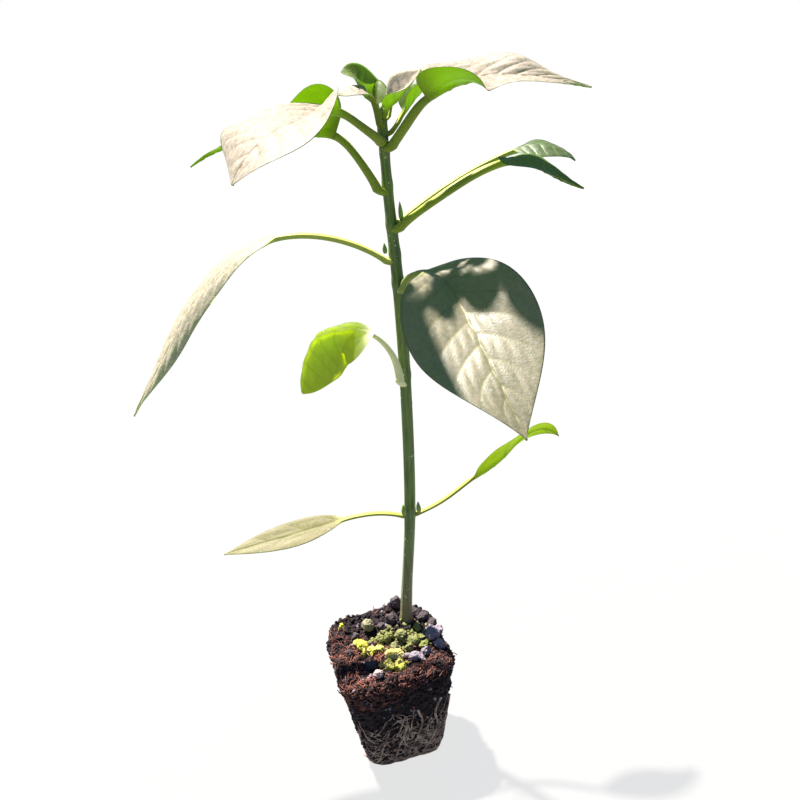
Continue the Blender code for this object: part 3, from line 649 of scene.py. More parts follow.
def buildLeaf(node, leaf):
    small = leaf.get("small", False)
    stalkRings, bladeRings, columns = (16, 44, 14) if small else (30, 120, 34)
    if leaf["kind"] == "seedLeaf":
        stalkRings, bladeRings, columns = (30, 70, 18)
    stalk, blade, rod = leaf["stalk"], leaf["blade"], leaf["rod"]
    s = np.concatenate([np.linspace(0, stalk, stalkRings + 1)[:-1],
                        stalk + blade * np.linspace(0, 1, bladeRings + 1)])
    centre, side, up, along, out = leafFrames(leaf, s)
    t = np.clip((s - stalk) / blade, 0, 1)
    flat = ease((s - stalk + 2.0) / (2.0 + 0.12 * blade))[:, None]
    j = np.arange(-columns, columns + 1) / columns
    v = (1 - flat) * np.sin(math.pi / 2 * j) + flat * np.sign(j) * np.abs(j) ** 1.15
    aside, rise, wide = bladeSheet(leaf, t, v)
    surface = (centre[:, None] + side[:, None] * aside[..., None] + up[:, None] * rise[..., None])
    cross = unit(np.gradient(surface, axis=1))
    normal = unit(np.cross(unit(np.gradient(surface[:, columns], axis=0))[:, None], cross))
    veins, rib, puff = bladeRelief(leaf, t, v, wide)
    sheet = sheetThickness / 2 * np.sqrt(np.clip(1 - v**4, 0, 1))
    edge = np.sqrt(np.clip(1 - v**2, 0, 1))
    taper = (rod * (1 - 0.9 * t) ** 0.8)[:, None]
    swell = (1 + 0.22 * np.exp(-s / 1.6))[:, None]
    groove = 0.30 * rod * np.exp(-((v / 0.45) ** 2))
    scale = min(1.0, leaf["width"] / 22.0)
    lift = (1 - flat) * (0.65 * rod * edge * swell - groove) + flat * (
        sheet + scale * (0.26 * puff - 0.16 * veins) - 0.22 * scale * rib)
    ribDrop = 1.25 * taper * np.exp(-((v * wide / (1.1 * taper)) ** 2))
    drop = (1 - flat) * 1.05 * rod * edge * swell + flat * (
        sheet + ribDrop + scale * (0.16 * veins - 0.12 * puff))
    top = surface + normal * lift[..., None]
    below = surface - normal * drop[..., None]
    count = 4 * columns
    rings = np.concatenate([below, top[:, -2:0:-1]], axis=1)
    ends = np.zeros(2 * columns + 1)
    ends[[0, -1]] = 0.5
    upper = np.concatenate([ends, np.ones(2 * columns - 1)])
    upper = np.tile(upper, (len(s), 1))
    veinMark = np.maximum(veins, rib * 0.9) * flat
    veinMark = np.concatenate([veinMark, veinMark[:, -2:0:-1]], axis=1)
    stalkMark = np.tile(1 - flat, (1, count))
    inward = -unit(along[0] + 0.9 * out)  # the stalk's foot runs down into the stem
    foot = []
    for reach, grow in ((3.0, 0.75), (1.9, 1.0), (0.9, 1.04)):
        foot.append(centre[0] + (rings[0] - centre[0]) * grow + inward * reach)
    rings = np.concatenate([np.array(foot), rings])
    first, last = rings[0].mean(0), rings[-1].mean(0)
    points = np.concatenate([rings.reshape(-1, 3), [first, last]])

    def padded(values, start):
        values = np.concatenate([np.repeat(values[:1], 3, axis=0), values])
        return np.concatenate([values.reshape(-1), [start, values[-1].mean()]])

    marks = dict(upper=padded(upper, 0.5), vein=padded(veinMark, 0), stalk=padded(stalkMark, 1))
    faces = ringFaces(len(rings), count)
    piece = makeMesh(leaf["piece"], points, faces, finishes[leaf["kind"]], marks)
    slot = "cotyledon" if node.startswith("cotyledon") else "leaf"
    declare(piece, slot, node)


setCamera()
setLights()
for node, leaf in leaves.items():
    buildLeaf(node, leaf)
print("leaves built")


# Geometry Nodes helpers
def newTree(name, inputs):
    tree = bpy.data.node_groups.new(name, "GeometryNodeTree")
    tree.interface.new_socket("Geometry", in_out="INPUT", socket_type="NodeSocketGeometry")
    for label, kind, value in inputs:
        socket = tree.interface.new_socket(label, in_out="INPUT", socket_type="NodeSocket" + kind)
        if value is not None:
            socket.default_value = value
    tree.interface.new_socket("Geometry", in_out="OUTPUT", socket_type="NodeSocketGeometry")
    return tree, addNode(tree, "NodeGroupInput").outputs, addNode(tree, "NodeGroupOutput")


def chain(tree, geometry, kind, settings=None, **inputs):
    # Adds a node to a line of geometry nodes and returns its geometry output.
    made = addNode(tree, kind, **(settings or {}))
    feed(tree, made.inputs[0], geometry)
    for key, source in inputs.items():
        feed(tree, made.inputs[key.replace("_", " ")], source)
    return made


def randomOf(tree, kind, low, high, seed):
    made = addNode(tree, "FunctionNodeRandomValue", data_type=kind)
    first = {"FLOAT_VECTOR": 0, "FLOAT": 2}[kind]
    feed(tree, made.inputs[first], low)
    feed(tree, made.inputs[first + 1], high)
    feed(tree, made.inputs["Seed"], seed)
    return made.outputs[0 if kind == "FLOAT_VECTOR" else 1]


def scaleOf(tree, vector, amount):
    made = addNode(tree, "ShaderNodeVectorMath", operation="SCALE")
    feed(tree, made.inputs[0], vector)
    feed(tree, made.inputs["Scale"], amount)
    return made.outputs[0]


def jitterOf(tree, amount, scale, seed):
    # A small push in a smoothly varying direction.
    position = addNode(tree, "GeometryNodeInputPosition").outputs[0]
    made = addNode(tree, "ShaderNodeTexNoise", noise_dimensions="4D")
    feed(tree, made.inputs["Vector"], position)
    made.inputs["Scale"].default_value = scale
    feed(tree, made.inputs["W"], seed)
    centred = addNode(tree, "ShaderNodeVectorMath", operation="SUBTRACT")
    tree.links.new(made.outputs["Color"], centred.inputs[0])
    centred.inputs[1].default_value = (0.5, 0.5, 0.5)
    return scaleOf(tree, centred.outputs[0], amount)


def runTree(tree, base, name, material, **values):
    # Evaluates the tree on a mesh and keeps the result as a plain mesh.
    modifier = base.modifiers.new(tree.name, "NODES")
    modifier.node_group = tree
    for item in tree.interface.items_tree:
        if item.in_out == "INPUT" and item.name in values:
            modifier[item.identifier] = values[item.name]
        elif item.in_out == "INPUT" and item.name == "Finish":
            modifier[item.identifier] = material
    graph = bpy.context.evaluated_depsgraph_get()
    mesh = bpy.data.meshes.new_from_object(base.evaluated_get(graph))
    base.modifiers.remove(modifier)
    mesh.name = name
    mesh.polygons.foreach_set("use_smooth", [True] * len(mesh.polygons))
    piece = bpy.data.objects.new(name, mesh)
    bpy.context.scene.collection.objects.link(piece)
    print(name, len(mesh.polygons), "faces")
    return piece


def guideMesh(paths, girths):
    points, edges, girth = [], [], []
    for path, thick in zip(paths, girths):
        start = len(points)
        points += [tuple(float(c) * mm for c in p) for p in path]
        edges += [(start + k, start + k + 1) for k in range(len(path) - 1)]
        girth += [thick] * len(path)
    mesh = bpy.data.meshes.new("rootGuides")
    mesh.from_pydata(points, edges, [])
    layer = mesh.attributes.new("girth", "FLOAT", "POINT")
    layer.data.foreach_set("value", girth)
    guides = bpy.data.objects.new("rootGuides", mesh)
    bpy.context.scene.collection.objects.link(guides)
    return guides


def lumpTree():
    # Small rounded lumps, thrown over a surface where its mark says.
    inputs = (("Density", "Float", 1.0), ("Smallest", "Float", 0.3 * mm),
              ("Largest", "Float", 1.0 * mm), ("Seed", "Int", 1), ("Where", "String", "all"),
              ("Roundness", "Int", 1), ("Finish", "Material", None))
    tree, given, result = newTree("scatterLumps", inputs)
    mark = addNode(tree, "GeometryNodeInputNamedAttribute", data_type="FLOAT")
    feed(tree, mark.inputs["Name"], given["Where"])
    thick = times(tree, mark.outputs[0], given["Density"])
    spots = chain(tree, given["Geometry"], "GeometryNodeDistributePointsOnFaces",
                  Density=thick, Seed=given["Seed"])
    ball = addNode(tree, "GeometryNodeMeshIcoSphere")
    ball.inputs["Radius"].default_value = 1.0
    feed(tree, ball.inputs["Subdivisions"], given["Roundness"])
    size = randomOf(tree, "FLOAT", given["Smallest"], given["Largest"], given["Seed"])
    squash = randomOf(tree, "FLOAT_VECTOR", (0.32, 0.32, 0.26), (0.55, 0.5, 0.42), given["Seed"])
    turn = randomOf(tree, "FLOAT_VECTOR", (0, 0, 0), (6.28, 6.28, 6.28), given["Seed"])
    placed = chain(tree, spots.outputs["Points"], "GeometryNodeInstanceOnPoints",
                   Instance=ball.outputs[0], Rotation=turn, Scale=scaleOf(tree, squash, size))
    real = chain(tree, placed.outputs[0], "GeometryNodeRealizeInstances")
    push = jitterOf(tree, times(tree, given["Largest"], 0.45), 1600.0, 1.0)
    rough = chain(tree, real.outputs[0], "GeometryNodeSetPosition", Offset=push)
    painted = chain(tree, rough.outputs[0], "GeometryNodeSetMaterial", Material=given["Finish"])
    tree.links.new(painted.outputs[0], result.inputs[0])
    return tree


def clusterTree():
    # Worn lumps, one on each guide point and as large as the point's girth says.
    inputs = (("Seed", "Int", 1), ("Finish", "Material", None))
    tree, given, result = newTree("pileLumps", inputs)
    ball = addNode(tree, "GeometryNodeMeshIcoSphere")
    ball.inputs["Radius"].default_value = 0.5
    ball.inputs["Subdivisions"].default_value = 4
    girth = addNode(tree, "GeometryNodeInputNamedAttribute", data_type="FLOAT")
    girth.inputs["Name"].default_value = "girth"
    squash = randomOf(tree, "FLOAT_VECTOR", (0.85, 0.75, 0.70), (1.15, 1.0, 0.90), given["Seed"])
    turn = randomOf(tree, "FLOAT_VECTOR", (0, 0, 0), (6.28, 6.28, 6.28), given["Seed"])
    placed = chain(tree, given["Geometry"], "GeometryNodeInstanceOnPoints",
                   Instance=ball.outputs[0], Rotation=turn,
                   Scale=scaleOf(tree, squash, girth.outputs[0]))
    real = chain(tree, placed.outputs[0], "GeometryNodeRealizeInstances")
    broad = chain(tree, real.outputs[0], "GeometryNodeSetPosition",
                  Offset=jitterOf(tree, 3.4 * mm, 420.0, 2.0))
    rough = chain(tree, broad.outputs[0], "GeometryNodeSetPosition",
                  Offset=jitterOf(tree, 0.9 * mm, 1300.0, 4.0))
    painted = chain(tree, rough.outputs[0], "GeometryNodeSetMaterial", Material=given["Finish"])
    tree.links.new(painted.outputs[0], result.inputs[0])
    return tree


def fibreTree():
    # Short bent fibres that lie about on a surface.
    inputs = (("Density", "Float", 1.0), ("Shortest", "Float", 1.0 * mm),
              ("Longest", "Float", 4.0 * mm), ("Thickness", "Float", 0.03), ("Tilt", "Float", 0.5),
              ("Seed", "Int", 1), ("Where", "String", "all"), ("Finish", "Material", None))
    tree, given, result = newTree("layFibres", inputs)
    mark = addNode(tree, "GeometryNodeInputNamedAttribute", data_type="FLOAT")
    feed(tree, mark.inputs["Name"], given["Where"])
    thick = times(tree, mark.outputs[0], given["Density"])
    spots = chain(tree, given["Geometry"], "GeometryNodeDistributePointsOnFaces",
                  Density=thick, Seed=given["Seed"])
    bow = addNode(tree, "GeometryNodeCurveQuadraticBezier")
    bow.inputs["Resolution"].default_value = 6
    bow.inputs["Start"].default_value = (-0.5, 0.0, 0.0)
    bow.inputs["Middle"].default_value = (0.0, 0.25, 0.16)
    bow.inputs["End"].default_value = (0.5, 0.05, 0.0)
    outline = addNode(tree, "GeometryNodeCurvePrimitiveCircle")
    outline.inputs["Resolution"].default_value = 4
    feed(tree, outline.inputs["Radius"], given["Thickness"])
    hair = chain(tree, bow.outputs[0], "GeometryNodeCurveToMesh",
                 Profile_Curve=outline.outputs[0], Fill_Caps=True)
    spin = addNode(tree, "ShaderNodeCombineXYZ")
    tiltLow = times(tree, given["Tilt"], -1.0)
    feed(tree, spin.inputs[1], randomOf(tree, "FLOAT", tiltLow, given["Tilt"], given["Seed"]))
    feed(tree, spin.inputs[2], randomOf(tree, "FLOAT", 0.0, 6.28, given["Seed"]))
    turned = addNode(tree, "FunctionNodeRotateRotation", rotation_space="LOCAL")
    tree.links.new(spots.outputs["Rotation"], turned.inputs[0])
    tree.links.new(spin.outputs[0], turned.inputs[1])
    size = randomOf(tree, "FLOAT", given["Shortest"], given["Longest"], given["Seed"])
    placed = chain(tree, spots.outputs["Points"], "GeometryNodeInstanceOnPoints",
                   Instance=hair.outputs[0], Rotation=turned.outputs[0], Scale=size)
    real = chain(tree, placed.outputs[0], "GeometryNodeRealizeInstances")
    painted = chain(tree, real.outputs[0], "GeometryNodeSetMaterial", Material=given["Finish"])
    tree.links.new(painted.outputs[0], result.inputs[0])
    return tree


def strandTree():
    # Tapering roots swept along guide lines.
    inputs = (("Radius", "Float", 0.3 * mm), ("Tip", "Float", 0.3), ("Sides", "Int", 6),
              ("Wander", "Float", 0.3 * mm), ("Seed", "Int", 1), ("Finish", "Material", None))
    tree, given, result = newTree("sweepRoots", inputs)
    guide = chain(tree, given["Geometry"], "GeometryNodeMeshToCurve")
    push = jitterOf(tree, given["Wander"], 420.0, given["Seed"])
    moved = chain(tree, guide.outputs[0], "GeometryNodeSetPosition", Offset=push)
    factor = addNode(tree, "GeometryNodeSplineParameter").outputs["Factor"]
    taper = addNode(tree, "ShaderNodeMapRange")
    for socket, source in zip(taper.inputs, (factor, 0.0, 1.0, 1.0, given["Tip"])):
        feed(tree, socket, source)
    thick = addNode(tree, "GeometryNodeInputNamedAttribute", data_type="FLOAT")
    thick.inputs["Name"].default_value = "girth"
    share = times(tree, taper.outputs[0], thick.outputs[0])
    outline = addNode(tree, "GeometryNodeCurvePrimitiveCircle")
    feed(tree, outline.inputs["Resolution"], given["Sides"])
    feed(tree, outline.inputs["Radius"], given["Radius"])
    tube = chain(tree, moved.outputs[0], "GeometryNodeCurveToMesh",
                 Profile_Curve=outline.outputs[0], Scale=share, Fill_Caps=True)
    real = chain(tree, tube.outputs[0], "GeometryNodeRealizeInstances")
    painted = chain(tree, real.outputs[0], "GeometryNodeSetMaterial", Material=given["Finish"])
    tree.links.new(painted.outputs[0], result.inputs[0])
    return tree


scatterLumps, pileLumps = lumpTree(), clusterTree()
layFibres, sweepRoots = fibreTree(), strandTree()


# Stem and buds
stemLook = dict(rings=260, sides=64, ribs=5, ribDepth=0.07, stepHeights=(84.5, 132.0, 160.5, 169.0,
                177.5, 188.5, 197.5, 202.5, 205.5), stepSwell=0.12)
speckLook = dict(Density=60000.0, Smallest=0.10 * mm, Largest=0.42 * mm, Seed=4, Where="all")


def buildStem():
    z = np.linspace(24.0, 209.3, stemLook["rings"])
    centres = stemCentre(np.minimum(z, 209.0))
    centres[:, 2] = z
    along = unit(np.gradient(centres, axis=0))
    first = unit(np.cross(np.array([[0.0, 1.0, 0.0]]), along))
    second = np.cross(along, first)
    radius = stemRadius(z)
    for height in stemLook["stepHeights"]:
        radius = radius * (1 + stemLook["stepSwell"] * np.exp(-(((z - height) / 1.6) ** 2)))
    radius = radius * np.where(z > 208.6, 0.7, 1.0)
    turn = np.arange(stemLook["sides"]) * 2 * math.pi / stemLook["sides"]
    phase = turn[None] * stemLook["ribs"] + (z[:, None] - 40) * 0.012 + 0.6
    ridge = np.clip(np.cos(phase), 0, 1) ** 2
    fade = ease((z - 60) / 30)[:, None]
    coarse = 0.03 * np.sin(turn[None] * 11 + z[:, None] * 0.05) * ease((80 - z) / 30)[:, None]
    shape = 1 + stemLook["ribDepth"] * (ridge - 0.4) * fade + coarse
    reach = (radius[:, None] * shape)[..., None]
    ring = (centres[:, None] + reach * (np.cos(turn)[None, :, None] * first[:, None]
            + np.sin(turn)[None, :, None] * second[:, None]))
    points = np.concatenate([ring.reshape(-1, 3), [centres[0], centres[-1] + (0, 0, 0.3)]])
    marks = dict(ridge=np.append((ridge * fade).reshape(-1), [0, 0]), all=np.ones(len(points)))
    faces = ringFaces(len(z), stemLook["sides"])
    return makeMesh("mainStem", points, faces, finishes["stem"], marks)


def buildBud(node, piece):
    low, high = (np.array(corner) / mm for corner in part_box(node))
    middle, size = (low + high) / 2, high - low
    rings = []
    for f in np.linspace(0, 1, 26):
        reach = math.sin(math.pi * min(1.0, 0.16 + 0.84 * f)) ** 0.75 * (1 - 0.35 * f)
        for k in range(20):
            a = k * math.pi / 10
            scale = 1 + 0.06 * math.cos(3 * a + 4 * f)
            x = middle[0] + size[0] / 2 * reach * scale * math.cos(a) * 0.9
            y = middle[1] + size[1] / 2 * reach * scale * math.sin(a) * 0.9
            rings.append((x, y, low[2] - 0.6 + (size[2] + 0.5) * f))
    rings += [(middle[0], middle[1], low[2] - 0.7), (middle[0], middle[1], high[2])]
    made = makeMesh(piece, np.array(rings), ringFaces(26, 20), finishes["bud"])
    declare(made, "bud", node)


mainStem = buildStem()
specks = runTree(scatterLumps, mainStem, "stemSpecks", finishes["speckDust"], **speckLook)
declare(mainStem, "stem", "main_stem")
declare(specks, "stem")
for node, piece in (("bud_cotyledon_left", "leftLowerBud"), ("bud_cotyledon_right", "rightLowerBud"),
                    ("bud_side", "sideBud"), ("bud_middle", "middleBud")):
    buildBud(node, piece)
print("stem and buds built")


# Peat plug
plugShape = dict(height=38.0, top=39.0, topCorner=9.0, bottom=26.0, bottomCorner=6.0, yaw=13.0,
                 around=300, wallRows=120, topRows=70, mound=(4.0, 9.0), backRise=3.4,
                 peak=(2.0, 13.0, 2.2, 3.2), hollow=(-9.0, 11.0, 2.4, 5.0),
                 wallRough=((0.95, 4.2), (0.28, 1.3)), topRough=((1.25, 3.6), (0.45, 1.3)))


def roundedSquare(side, corner, angle):
    angle = (angle + math.pi / 4) % (math.pi / 2) - math.pi / 4
    straight = side / 2 - corner
    flat = side / 2 / math.cos(angle)
    if abs(flat * math.sin(angle)) <= straight:
        return flat
    along = straight * (math.cos(angle) + abs(math.sin(angle)))
    return along + math.sqrt(along**2 - 2 * straight**2 + corner**2)


def wallRadius(angle, z):
    f = z / plugShape["height"]
    side = plugShape["bottom"] + (plugShape["top"] - plugShape["bottom"]) * f
    corner = plugShape["bottomCorner"] + (plugShape["topCorner"] - plugShape["bottomCorner"]) * f
    return roundedSquare(side, corner, angle - math.radians(plugShape["yaw"]))


def soilLumps(x, y, size):
    x, y = x / size, y / size
    wave = math.sin(1.9 * x + 0.7 * y) + math.sin(1.3 * y - 1.7 * x + 1.1)
    return (wave + math.sin(2.3 * y + 0.4 * x + 2.0)) / 3.0


def heap(x, y, atX, atY, height, spread):
    return height * math.exp(-((math.hypot(x - atX, y - atY) / spread) ** 2))


def soilHeight(x, y):
    stem = stemCentre(40.0)[0]
    back = float(ease(y / 14.0) * ease((14.0 - x) / 14.0))
    mound = heap(x, y, stem[0], stem[1], *plugShape["mound"])
    mound += plugShape["backRise"] * back + heap(x, y, *plugShape["peak"])
    hollow = heap(x, y, *plugShape["hollow"])
    return plugShape["height"] + mound - hollow + 0.45 * soilLumps(x, y, 2.6)


def crumble(point, size):
    return noise.noise(Vector(point) / size) + 0.5 * noise.noise(Vector(point) / size * 2.3)


def shadeOf(y):
    # Painted shade: black peat towards the back, where shade fell, and rusty crumbs at the lit front.
    return 1.0 - 0.90 * float(ease((y + 3.0) / 8.0))


def buildPlug():
    around, wallRows, topRows = (plugShape[k] for k in ("around", "wallRows", "topRows"))
    turns = [math.radians(plugShape["yaw"]) + k * 2 * math.pi / around for k in range(around)]
    points, rustyLitPeat, crumbs, algae, fine = [], [], [], [], []
    broad, small = plugShape["wallRough"]
    for row in range(wallRows):
        f = row / (wallRows - 1)
        z = 37.4 * f**0.95
        for a in turns:
            base = wallRadius(a, z) - 0.45 - 1.3 * (1 - ease(z / 2.5)) - 0.9 * ease((z - 35.8) / 1.8)
            spot = (base * math.cos(a), base * math.sin(a), z)
            loose = 0.25 + 0.75 * float(ease((z - 8) / 20))
            base += loose * broad[0] * crumble(spot, broad[1]) + small[0] * crumble(spot, small[1])
            points.append((base * math.cos(a), base * math.sin(a), max(z, 0.0)))
            # Rust band at the rim, wider towards the front left and fading to the back: partly rusty
            # fibres, partly painted light where the sun fell and painted shade behind.
            left = 0.5 + 0.5 * math.cos(a - math.radians(225))
            litRimRust = float(ease((z - 34.5 + 9.0 * left**3) / 4)) * shadeOf(base * math.sin(a))
            rustyLitPeat.append(0.02 + 0.9 * litRimRust)
            crumbs.append(0.02 + 0.9 * litRimRust if z > 1 else 0)
            algae.append(0.0)
            fine.append(float(ease((z - 2) / 4)) * (0.3 + 0.7 * float(ease((z - 24) / 8))))
    broad, small = plugShape["topRough"]
    stem = stemCentre(42.0)[0]
    for row in range(1, topRows + 1):
        f = (row / topRows) ** 0.9
        for a in turns:
            rim = wallRadius(a, 38.0) - 1.6
            x = rim * math.cos(a) * (1 - f) + (stem[0] + 1.9 * math.cos(a)) * f
            y = rim * math.sin(a) * (1 - f) + (stem[1] + 1.9 * math.sin(a)) * f
            z = soilHeight(x, y) - 0.4 * math.exp(-f * 20)
            z += broad[0] * crumble((x, y, 0), broad[1]) + small[0] * crumble((x, y, 9), small[1])
            points.append((x, y, z))
            # Painted light and shade: rust and rusty crumbs on the lit front of the top, black peat
            # towards the back where shade fell; fewer crumbs to the right.
            rustyLitPeat.append(shadeOf(y + 0.35 * x))
            crumbs.append(shadeOf(y + 0.35 * x) * (1.0 - 0.35 * float(ease((x - 6) / 8))))
            near = math.hypot((x - 5.0) / 8.0, (y - 0.5) / 3.6)
            algae.append(math.exp(-(near**2)))
            fine.append(1.0)
    points += [(0.0, 0.0, 0.0), (stem[0], stem[1], 40.0)]
    rings = wallRows + topRows
    tail = [0.0, 0.0]
    marks = dict(rustyLitPeat=rustyLitPeat + tail, crumbs=crumbs + tail, algae=algae + tail, fine=fine + tail)
    return makeMesh("peatPlug", points, ringFaces(rings, around), finishes["peat"], marks)


plugCover = {
    # The crumbs mark follows the painted light: rusty crumbs and fibres lie thick on the lit front and
    # thin in the painted shade at the back.
    "peatCrumbs": dict(tree=scatterLumps, kind="crumb", slot="peat", Density=1.0e6,
                       Smallest=0.45 * mm, Largest=1.7 * mm, Seed=11, Where="crumbs"),
    "darkCrumbs": dict(tree=scatterLumps, kind="peat", slot="peat", Density=0.9e6,
                       Smallest=0.5 * mm, Largest=2.2 * mm, Seed=12, Where="fine"),
    "algaeGrains": dict(tree=scatterLumps, kind="algaeGrain", slot="perlite", Density=1.6e6,
                        Smallest=0.9 * mm, Largest=2.4 * mm, Seed=13, Where="algae", Roundness=2),
    "paleGrains": dict(tree=scatterLumps, kind="cleanGrain", slot="perlite", Density=0.05e6,
                       Smallest=0.5 * mm, Largest=1.6 * mm, Seed=14, Where="fine", Roundness=2),
    "peatFibres": dict(tree=layFibres, kind="fibre", slot="peat", Density=0.75e6,
                       Shortest=1.2 * mm, Longest=4.2 * mm, Seed=15, Where="crumbs",
                       Thickness=0.035, Tilt=0.5),
}


def coverPlug(plug):
    made = []
    for name, cover in plugCover.items():
        inputs = {key: value for key, value in cover.items() if key[0].isupper()}
        piece = runTree(cover["tree"], plug, name, finishes[cover["kind"]], **inputs)
        made.append((piece, cover["slot"]))
    declare(plug, "peat", "peat_plug")
    for piece, slot in made:
        declare(piece, slot)


coverPlug(buildPlug())
print("plug built")


# Perlite lumps
lumps = {
    "grain_round": dict(piece="roundGrain", kind="creamGrain", seed=1),
    "grain_long": dict(piece="longGrain", kind="mossyGrain", seed=2),
    "grain_front": dict(piece="frontGrain", kind="honeyGrain", seed=3),
    "grain_middle": dict(piece="middleGrain", kind="algaeGrain", seed=4),
    "grain_green": dict(piece="greenGrain", kind="algaeGrain", seed=5),
    "grain_right": dict(piece="rightGrain", kind="cleanGrain", seed=6),
    "grain_corner": dict(piece="cornerGrain", kind="cleanGrain", seed=7),
    "grain_rim": dict(piece="rimGrain", kind="pinkGrain", seed=8),
}


def buildGrain(node, lump):
    low, high = (Vector(corner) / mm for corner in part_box(node))
    middle, half = (low + high) / 2, (high - low) / 2
    ball = bpy.data.meshes.new("ball")
    work = bmesh.new()
    bmesh.ops.create_icosphere(work, subdivisions=5, radius=1.0)
    work.to_mesh(ball)
    work.free()
    points = []
    for vertex in ball.vertices:
        way = vertex.co.normalized()
        shift = Vector((lump["seed"] * 7.1, 0, 0))
        reach = 0.90 + 0.16 * noise.noise(way * 1.4 + shift) + 0.10 * noise.noise(way * 3.5 + shift)
        reach -= 0.07 * max(0.0, noise.noise(way * 9.0 + shift))
        points.append((middle.x + half.x * way.x * reach, middle.y + half.y * way.y * reach,
                       middle.z - 0.9 + half.z * 1.15 * way.z * reach))
    faces = [tuple(polygon.vertices) for polygon in ball.polygons]
    made = makeMesh(lump["piece"], np.array(points), faces, finishes[lump["kind"]])
    declare(made, "perlite", node)


for node, lump in lumps.items():
    buildGrain(node, lump)

# Each lump: x, y, width and how far its middle is over the soil.
piles = {
    "mossyPile": dict(kind="mossyGrain", seed=31, lumps=(
        (-9.9, 2.0, 3.6, 0.8), (-5.2, -3.4, 3.6, 1.0), (-2.9, -2.4, 3.0, 0.8), (-8.0, -3.4, 3.0, 0.8),
        (-15.8, 9.6, 2.4, 0.6), (0.2, -12.0, 4.4, 1.2), (3.4, -12.2, 4.6, 1.0), (5.6, -11.0, 2.6, 0.8),
        (-1.6, -10.6, 3.0, 0.8))),
    "algaePile": dict(kind="algaeGrain", seed=32, lumps=(
        (0.6, 0.6, 4.2, 1.0), (-2.6, 2.4, 3.6, 0.8), (-0.6, 3.8, 3.0, 0.8), (7.2, -3.6, 3.2, 0.8),
        (11.6, 0.6, 3.8, 1.0), (12.0, -3.2, 3.0, 0.8), (2.4, -2.8, 2.8, 0.6), (-4.8, 2.0, 2.8, 0.6),
        (10.4, 3.6, 3.4, 0.8), (6.4, -0.8, 3.0, 0.6))),
    "cleanPile": dict(kind="cleanGrain", seed=33, lumps=(
        (12.4, -6.4, 3.6, 0.8), (17.2, -3.2, 3.8, 0.6), (17.4, 3.6, 4.0, 0.8), (14.4, 3.8, 3.4, 1.2),
        (6.2, -7.0, 2.6, 0.6), (11.0, -9.4, 2.4, 0.4), (-5.6, -15.6, 2.0, 0.5))),
    "gritPile": dict(kind="gritGrain", seed=34, lumps=(
        (1.8, 7.6, 4.6, 0.8), (12.4, 9.4, 4.8, 0.8), (15.4, 7.4, 3.6, 0.6), (-1.8, 6.4, 3.0, 0.6),
        (9.8, 11.4, 3.6, 0.8), (-12.4, -3.0, 3.0, 0.4), (-11.2, 6.0, 3.2, 0.6), (3.4, 12.4, 4.4, 1.6),
        (-5.6, -9.4, 3.2, 0.3))),
}


def buildPile(name, pile):
    paths = [[(x, y, soilHeight(x, y) + lift)] for x, y, width, lift in pile["lumps"]]
    places = guideMesh(paths, [lump[2] * mm for lump in pile["lumps"]])
    made = runTree(pileLumps, places, name, finishes[pile["kind"]], Seed=pile["seed"])
    bpy.data.objects.remove(places)
    declare(made, "perlite")


for name, pile in piles.items():
    buildPile(name, pile)
print("grains built")


# Roots
rootLook = dict(
    seed=21, strands=330, steps=15, stride=0.95, frontShare=0.35, front=(265.0, 350.0),
    coarse=dict(Radius=0.75 * mm, Tip=0.5, Sides=9, Wander=0.7 * mm, Seed=3),
    fine=dict(Radius=0.23 * mm, Tip=0.35, Sides=5, Wander=0.8 * mm, Seed=5),
)
coarseRoots = {
    "root_front_left": (0.55, ((262, 17), (254, 11), (248, 6), (243, 3))),
    "root_front": (0.60, ((284, 20), (279, 14), (271, 9), (266, 5), (262, 3))),
    "root_front_right": (0.60, ((296, 24), (301, 18), (296, 12), (288, 7), (281, 3.5))),
    "root_corner": (0.65, ((318, 27), (314, 21), (317, 14), (311, 8), (303, 4))),
    "root_right": (0.60, ((338, 22), (334, 15), (339, 9), (334, 4))),
    "root_back": (0.60, ((75, 22), (82, 15), (76, 8), (80, 4))),
    "root_left": (0.55, ((182, 18), (188, 12), (183, 7), (187, 3.5))),
}


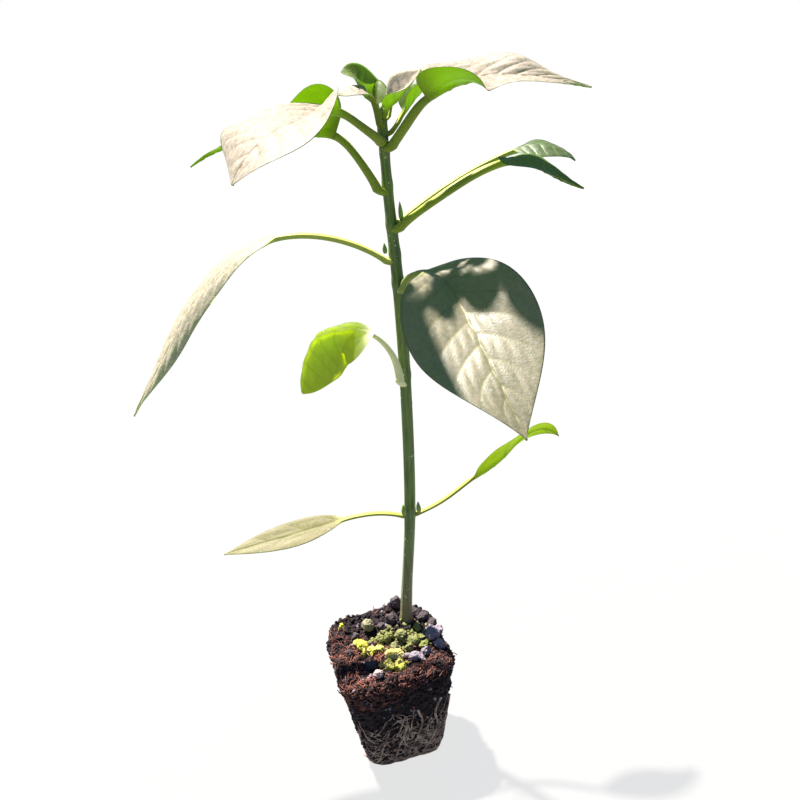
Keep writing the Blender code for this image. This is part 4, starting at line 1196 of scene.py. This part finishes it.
def coarsePaths():
    paths, girths = [], []
    for radius, stations in coarseRoots.values():
        at = np.linspace(0, len(stations) - 1, 40)
        turn = np.radians(smoothCurve(range(len(stations)), [k[0] for k in stations], at))
        height = smoothCurve(range(len(stations)), [k[1] for k in stations], at)
        path = [((wallRadius(a, z) + 0.05) * math.cos(a), (wallRadius(a, z) + 0.05) * math.sin(a), z)
                for a, z in zip(turn, height)]
        paths.append(path)
        girths.append(radius)
    return paths, girths


def finePaths():
    draw = np.random.default_rng(rootLook["seed"])
    paths, girths = [], []
    for strand in range(rootLook["strands"]):
        turn = draw.uniform(0, 2 * math.pi)
        if draw.random() < rootLook["frontShare"]:
            turn = draw.uniform(*np.radians(rootLook["front"]))
        z = 1.3 + 13.0 * draw.random() ** 1.4
        z += 8.0 * draw.random() ** 2 * (math.cos(turn - math.radians(315)) > 0.3)
        slope = draw.uniform(-1.2, 1.2)
        spin = draw.choice([-1, 1])
        depth = draw.uniform(-0.35, 0.3)
        path = []
        for step in range(rootLook["steps"]):
            reach = wallRadius(turn, z) - 0.25 + depth - 1.3 * (1 - float(ease(z / 2.5)))
            path.append((reach * math.cos(turn), reach * math.sin(turn), z))
            slope += draw.normal(0, 0.28)
            slope = min(1.5, max(-1.5, slope))
            turn += spin * math.cos(slope) * rootLook["stride"] / reach
            z = min(24.0, max(1.1, z + math.sin(slope) * rootLook["stride"]))
        paths.append(path)
        girths.append(draw.uniform(0.55, 1.6))
    return paths, girths


def buildRoots(name, paths, girths, look):
    guides = guideMesh(paths, girths)
    made = runTree(sweepRoots, guides, name, finishes["root"], **look)
    bpy.data.objects.remove(guides)
    return made


thickRoots = buildRoots("thickRoots", *coarsePaths(), rootLook["coarse"])
fineRoots = buildRoots("fineRoots", *finePaths(), rootLook["fine"])
declare(thickRoots, "root", *coarseRoots)
declare(fineRoots, "root")
print("roots built")


# Floor
floorLook = dict(reach=6.0, colour=(0.035, 0.035, 0.035), glow=0.76)


def buildFloor():
    material, tree, shader, where = newFinish("paleFloor")
    setShader(shader, Base_Color=floorLook["colour"], Roughness=0.9, Specular_IOR_Level=0.1,
              Emission_Color=(1.0, 1.0, 1.0), Emission_Strength=floorLook["glow"])
    reach = floorLook["reach"] / mm
    points = [(-reach, -reach, -0.05), (reach, -reach, -0.05), (reach, reach, -0.05),
              (-reach, reach, -0.05)]
    makeMesh("paleFloor", points, [(0, 1, 2, 3)], material)


buildFloor()
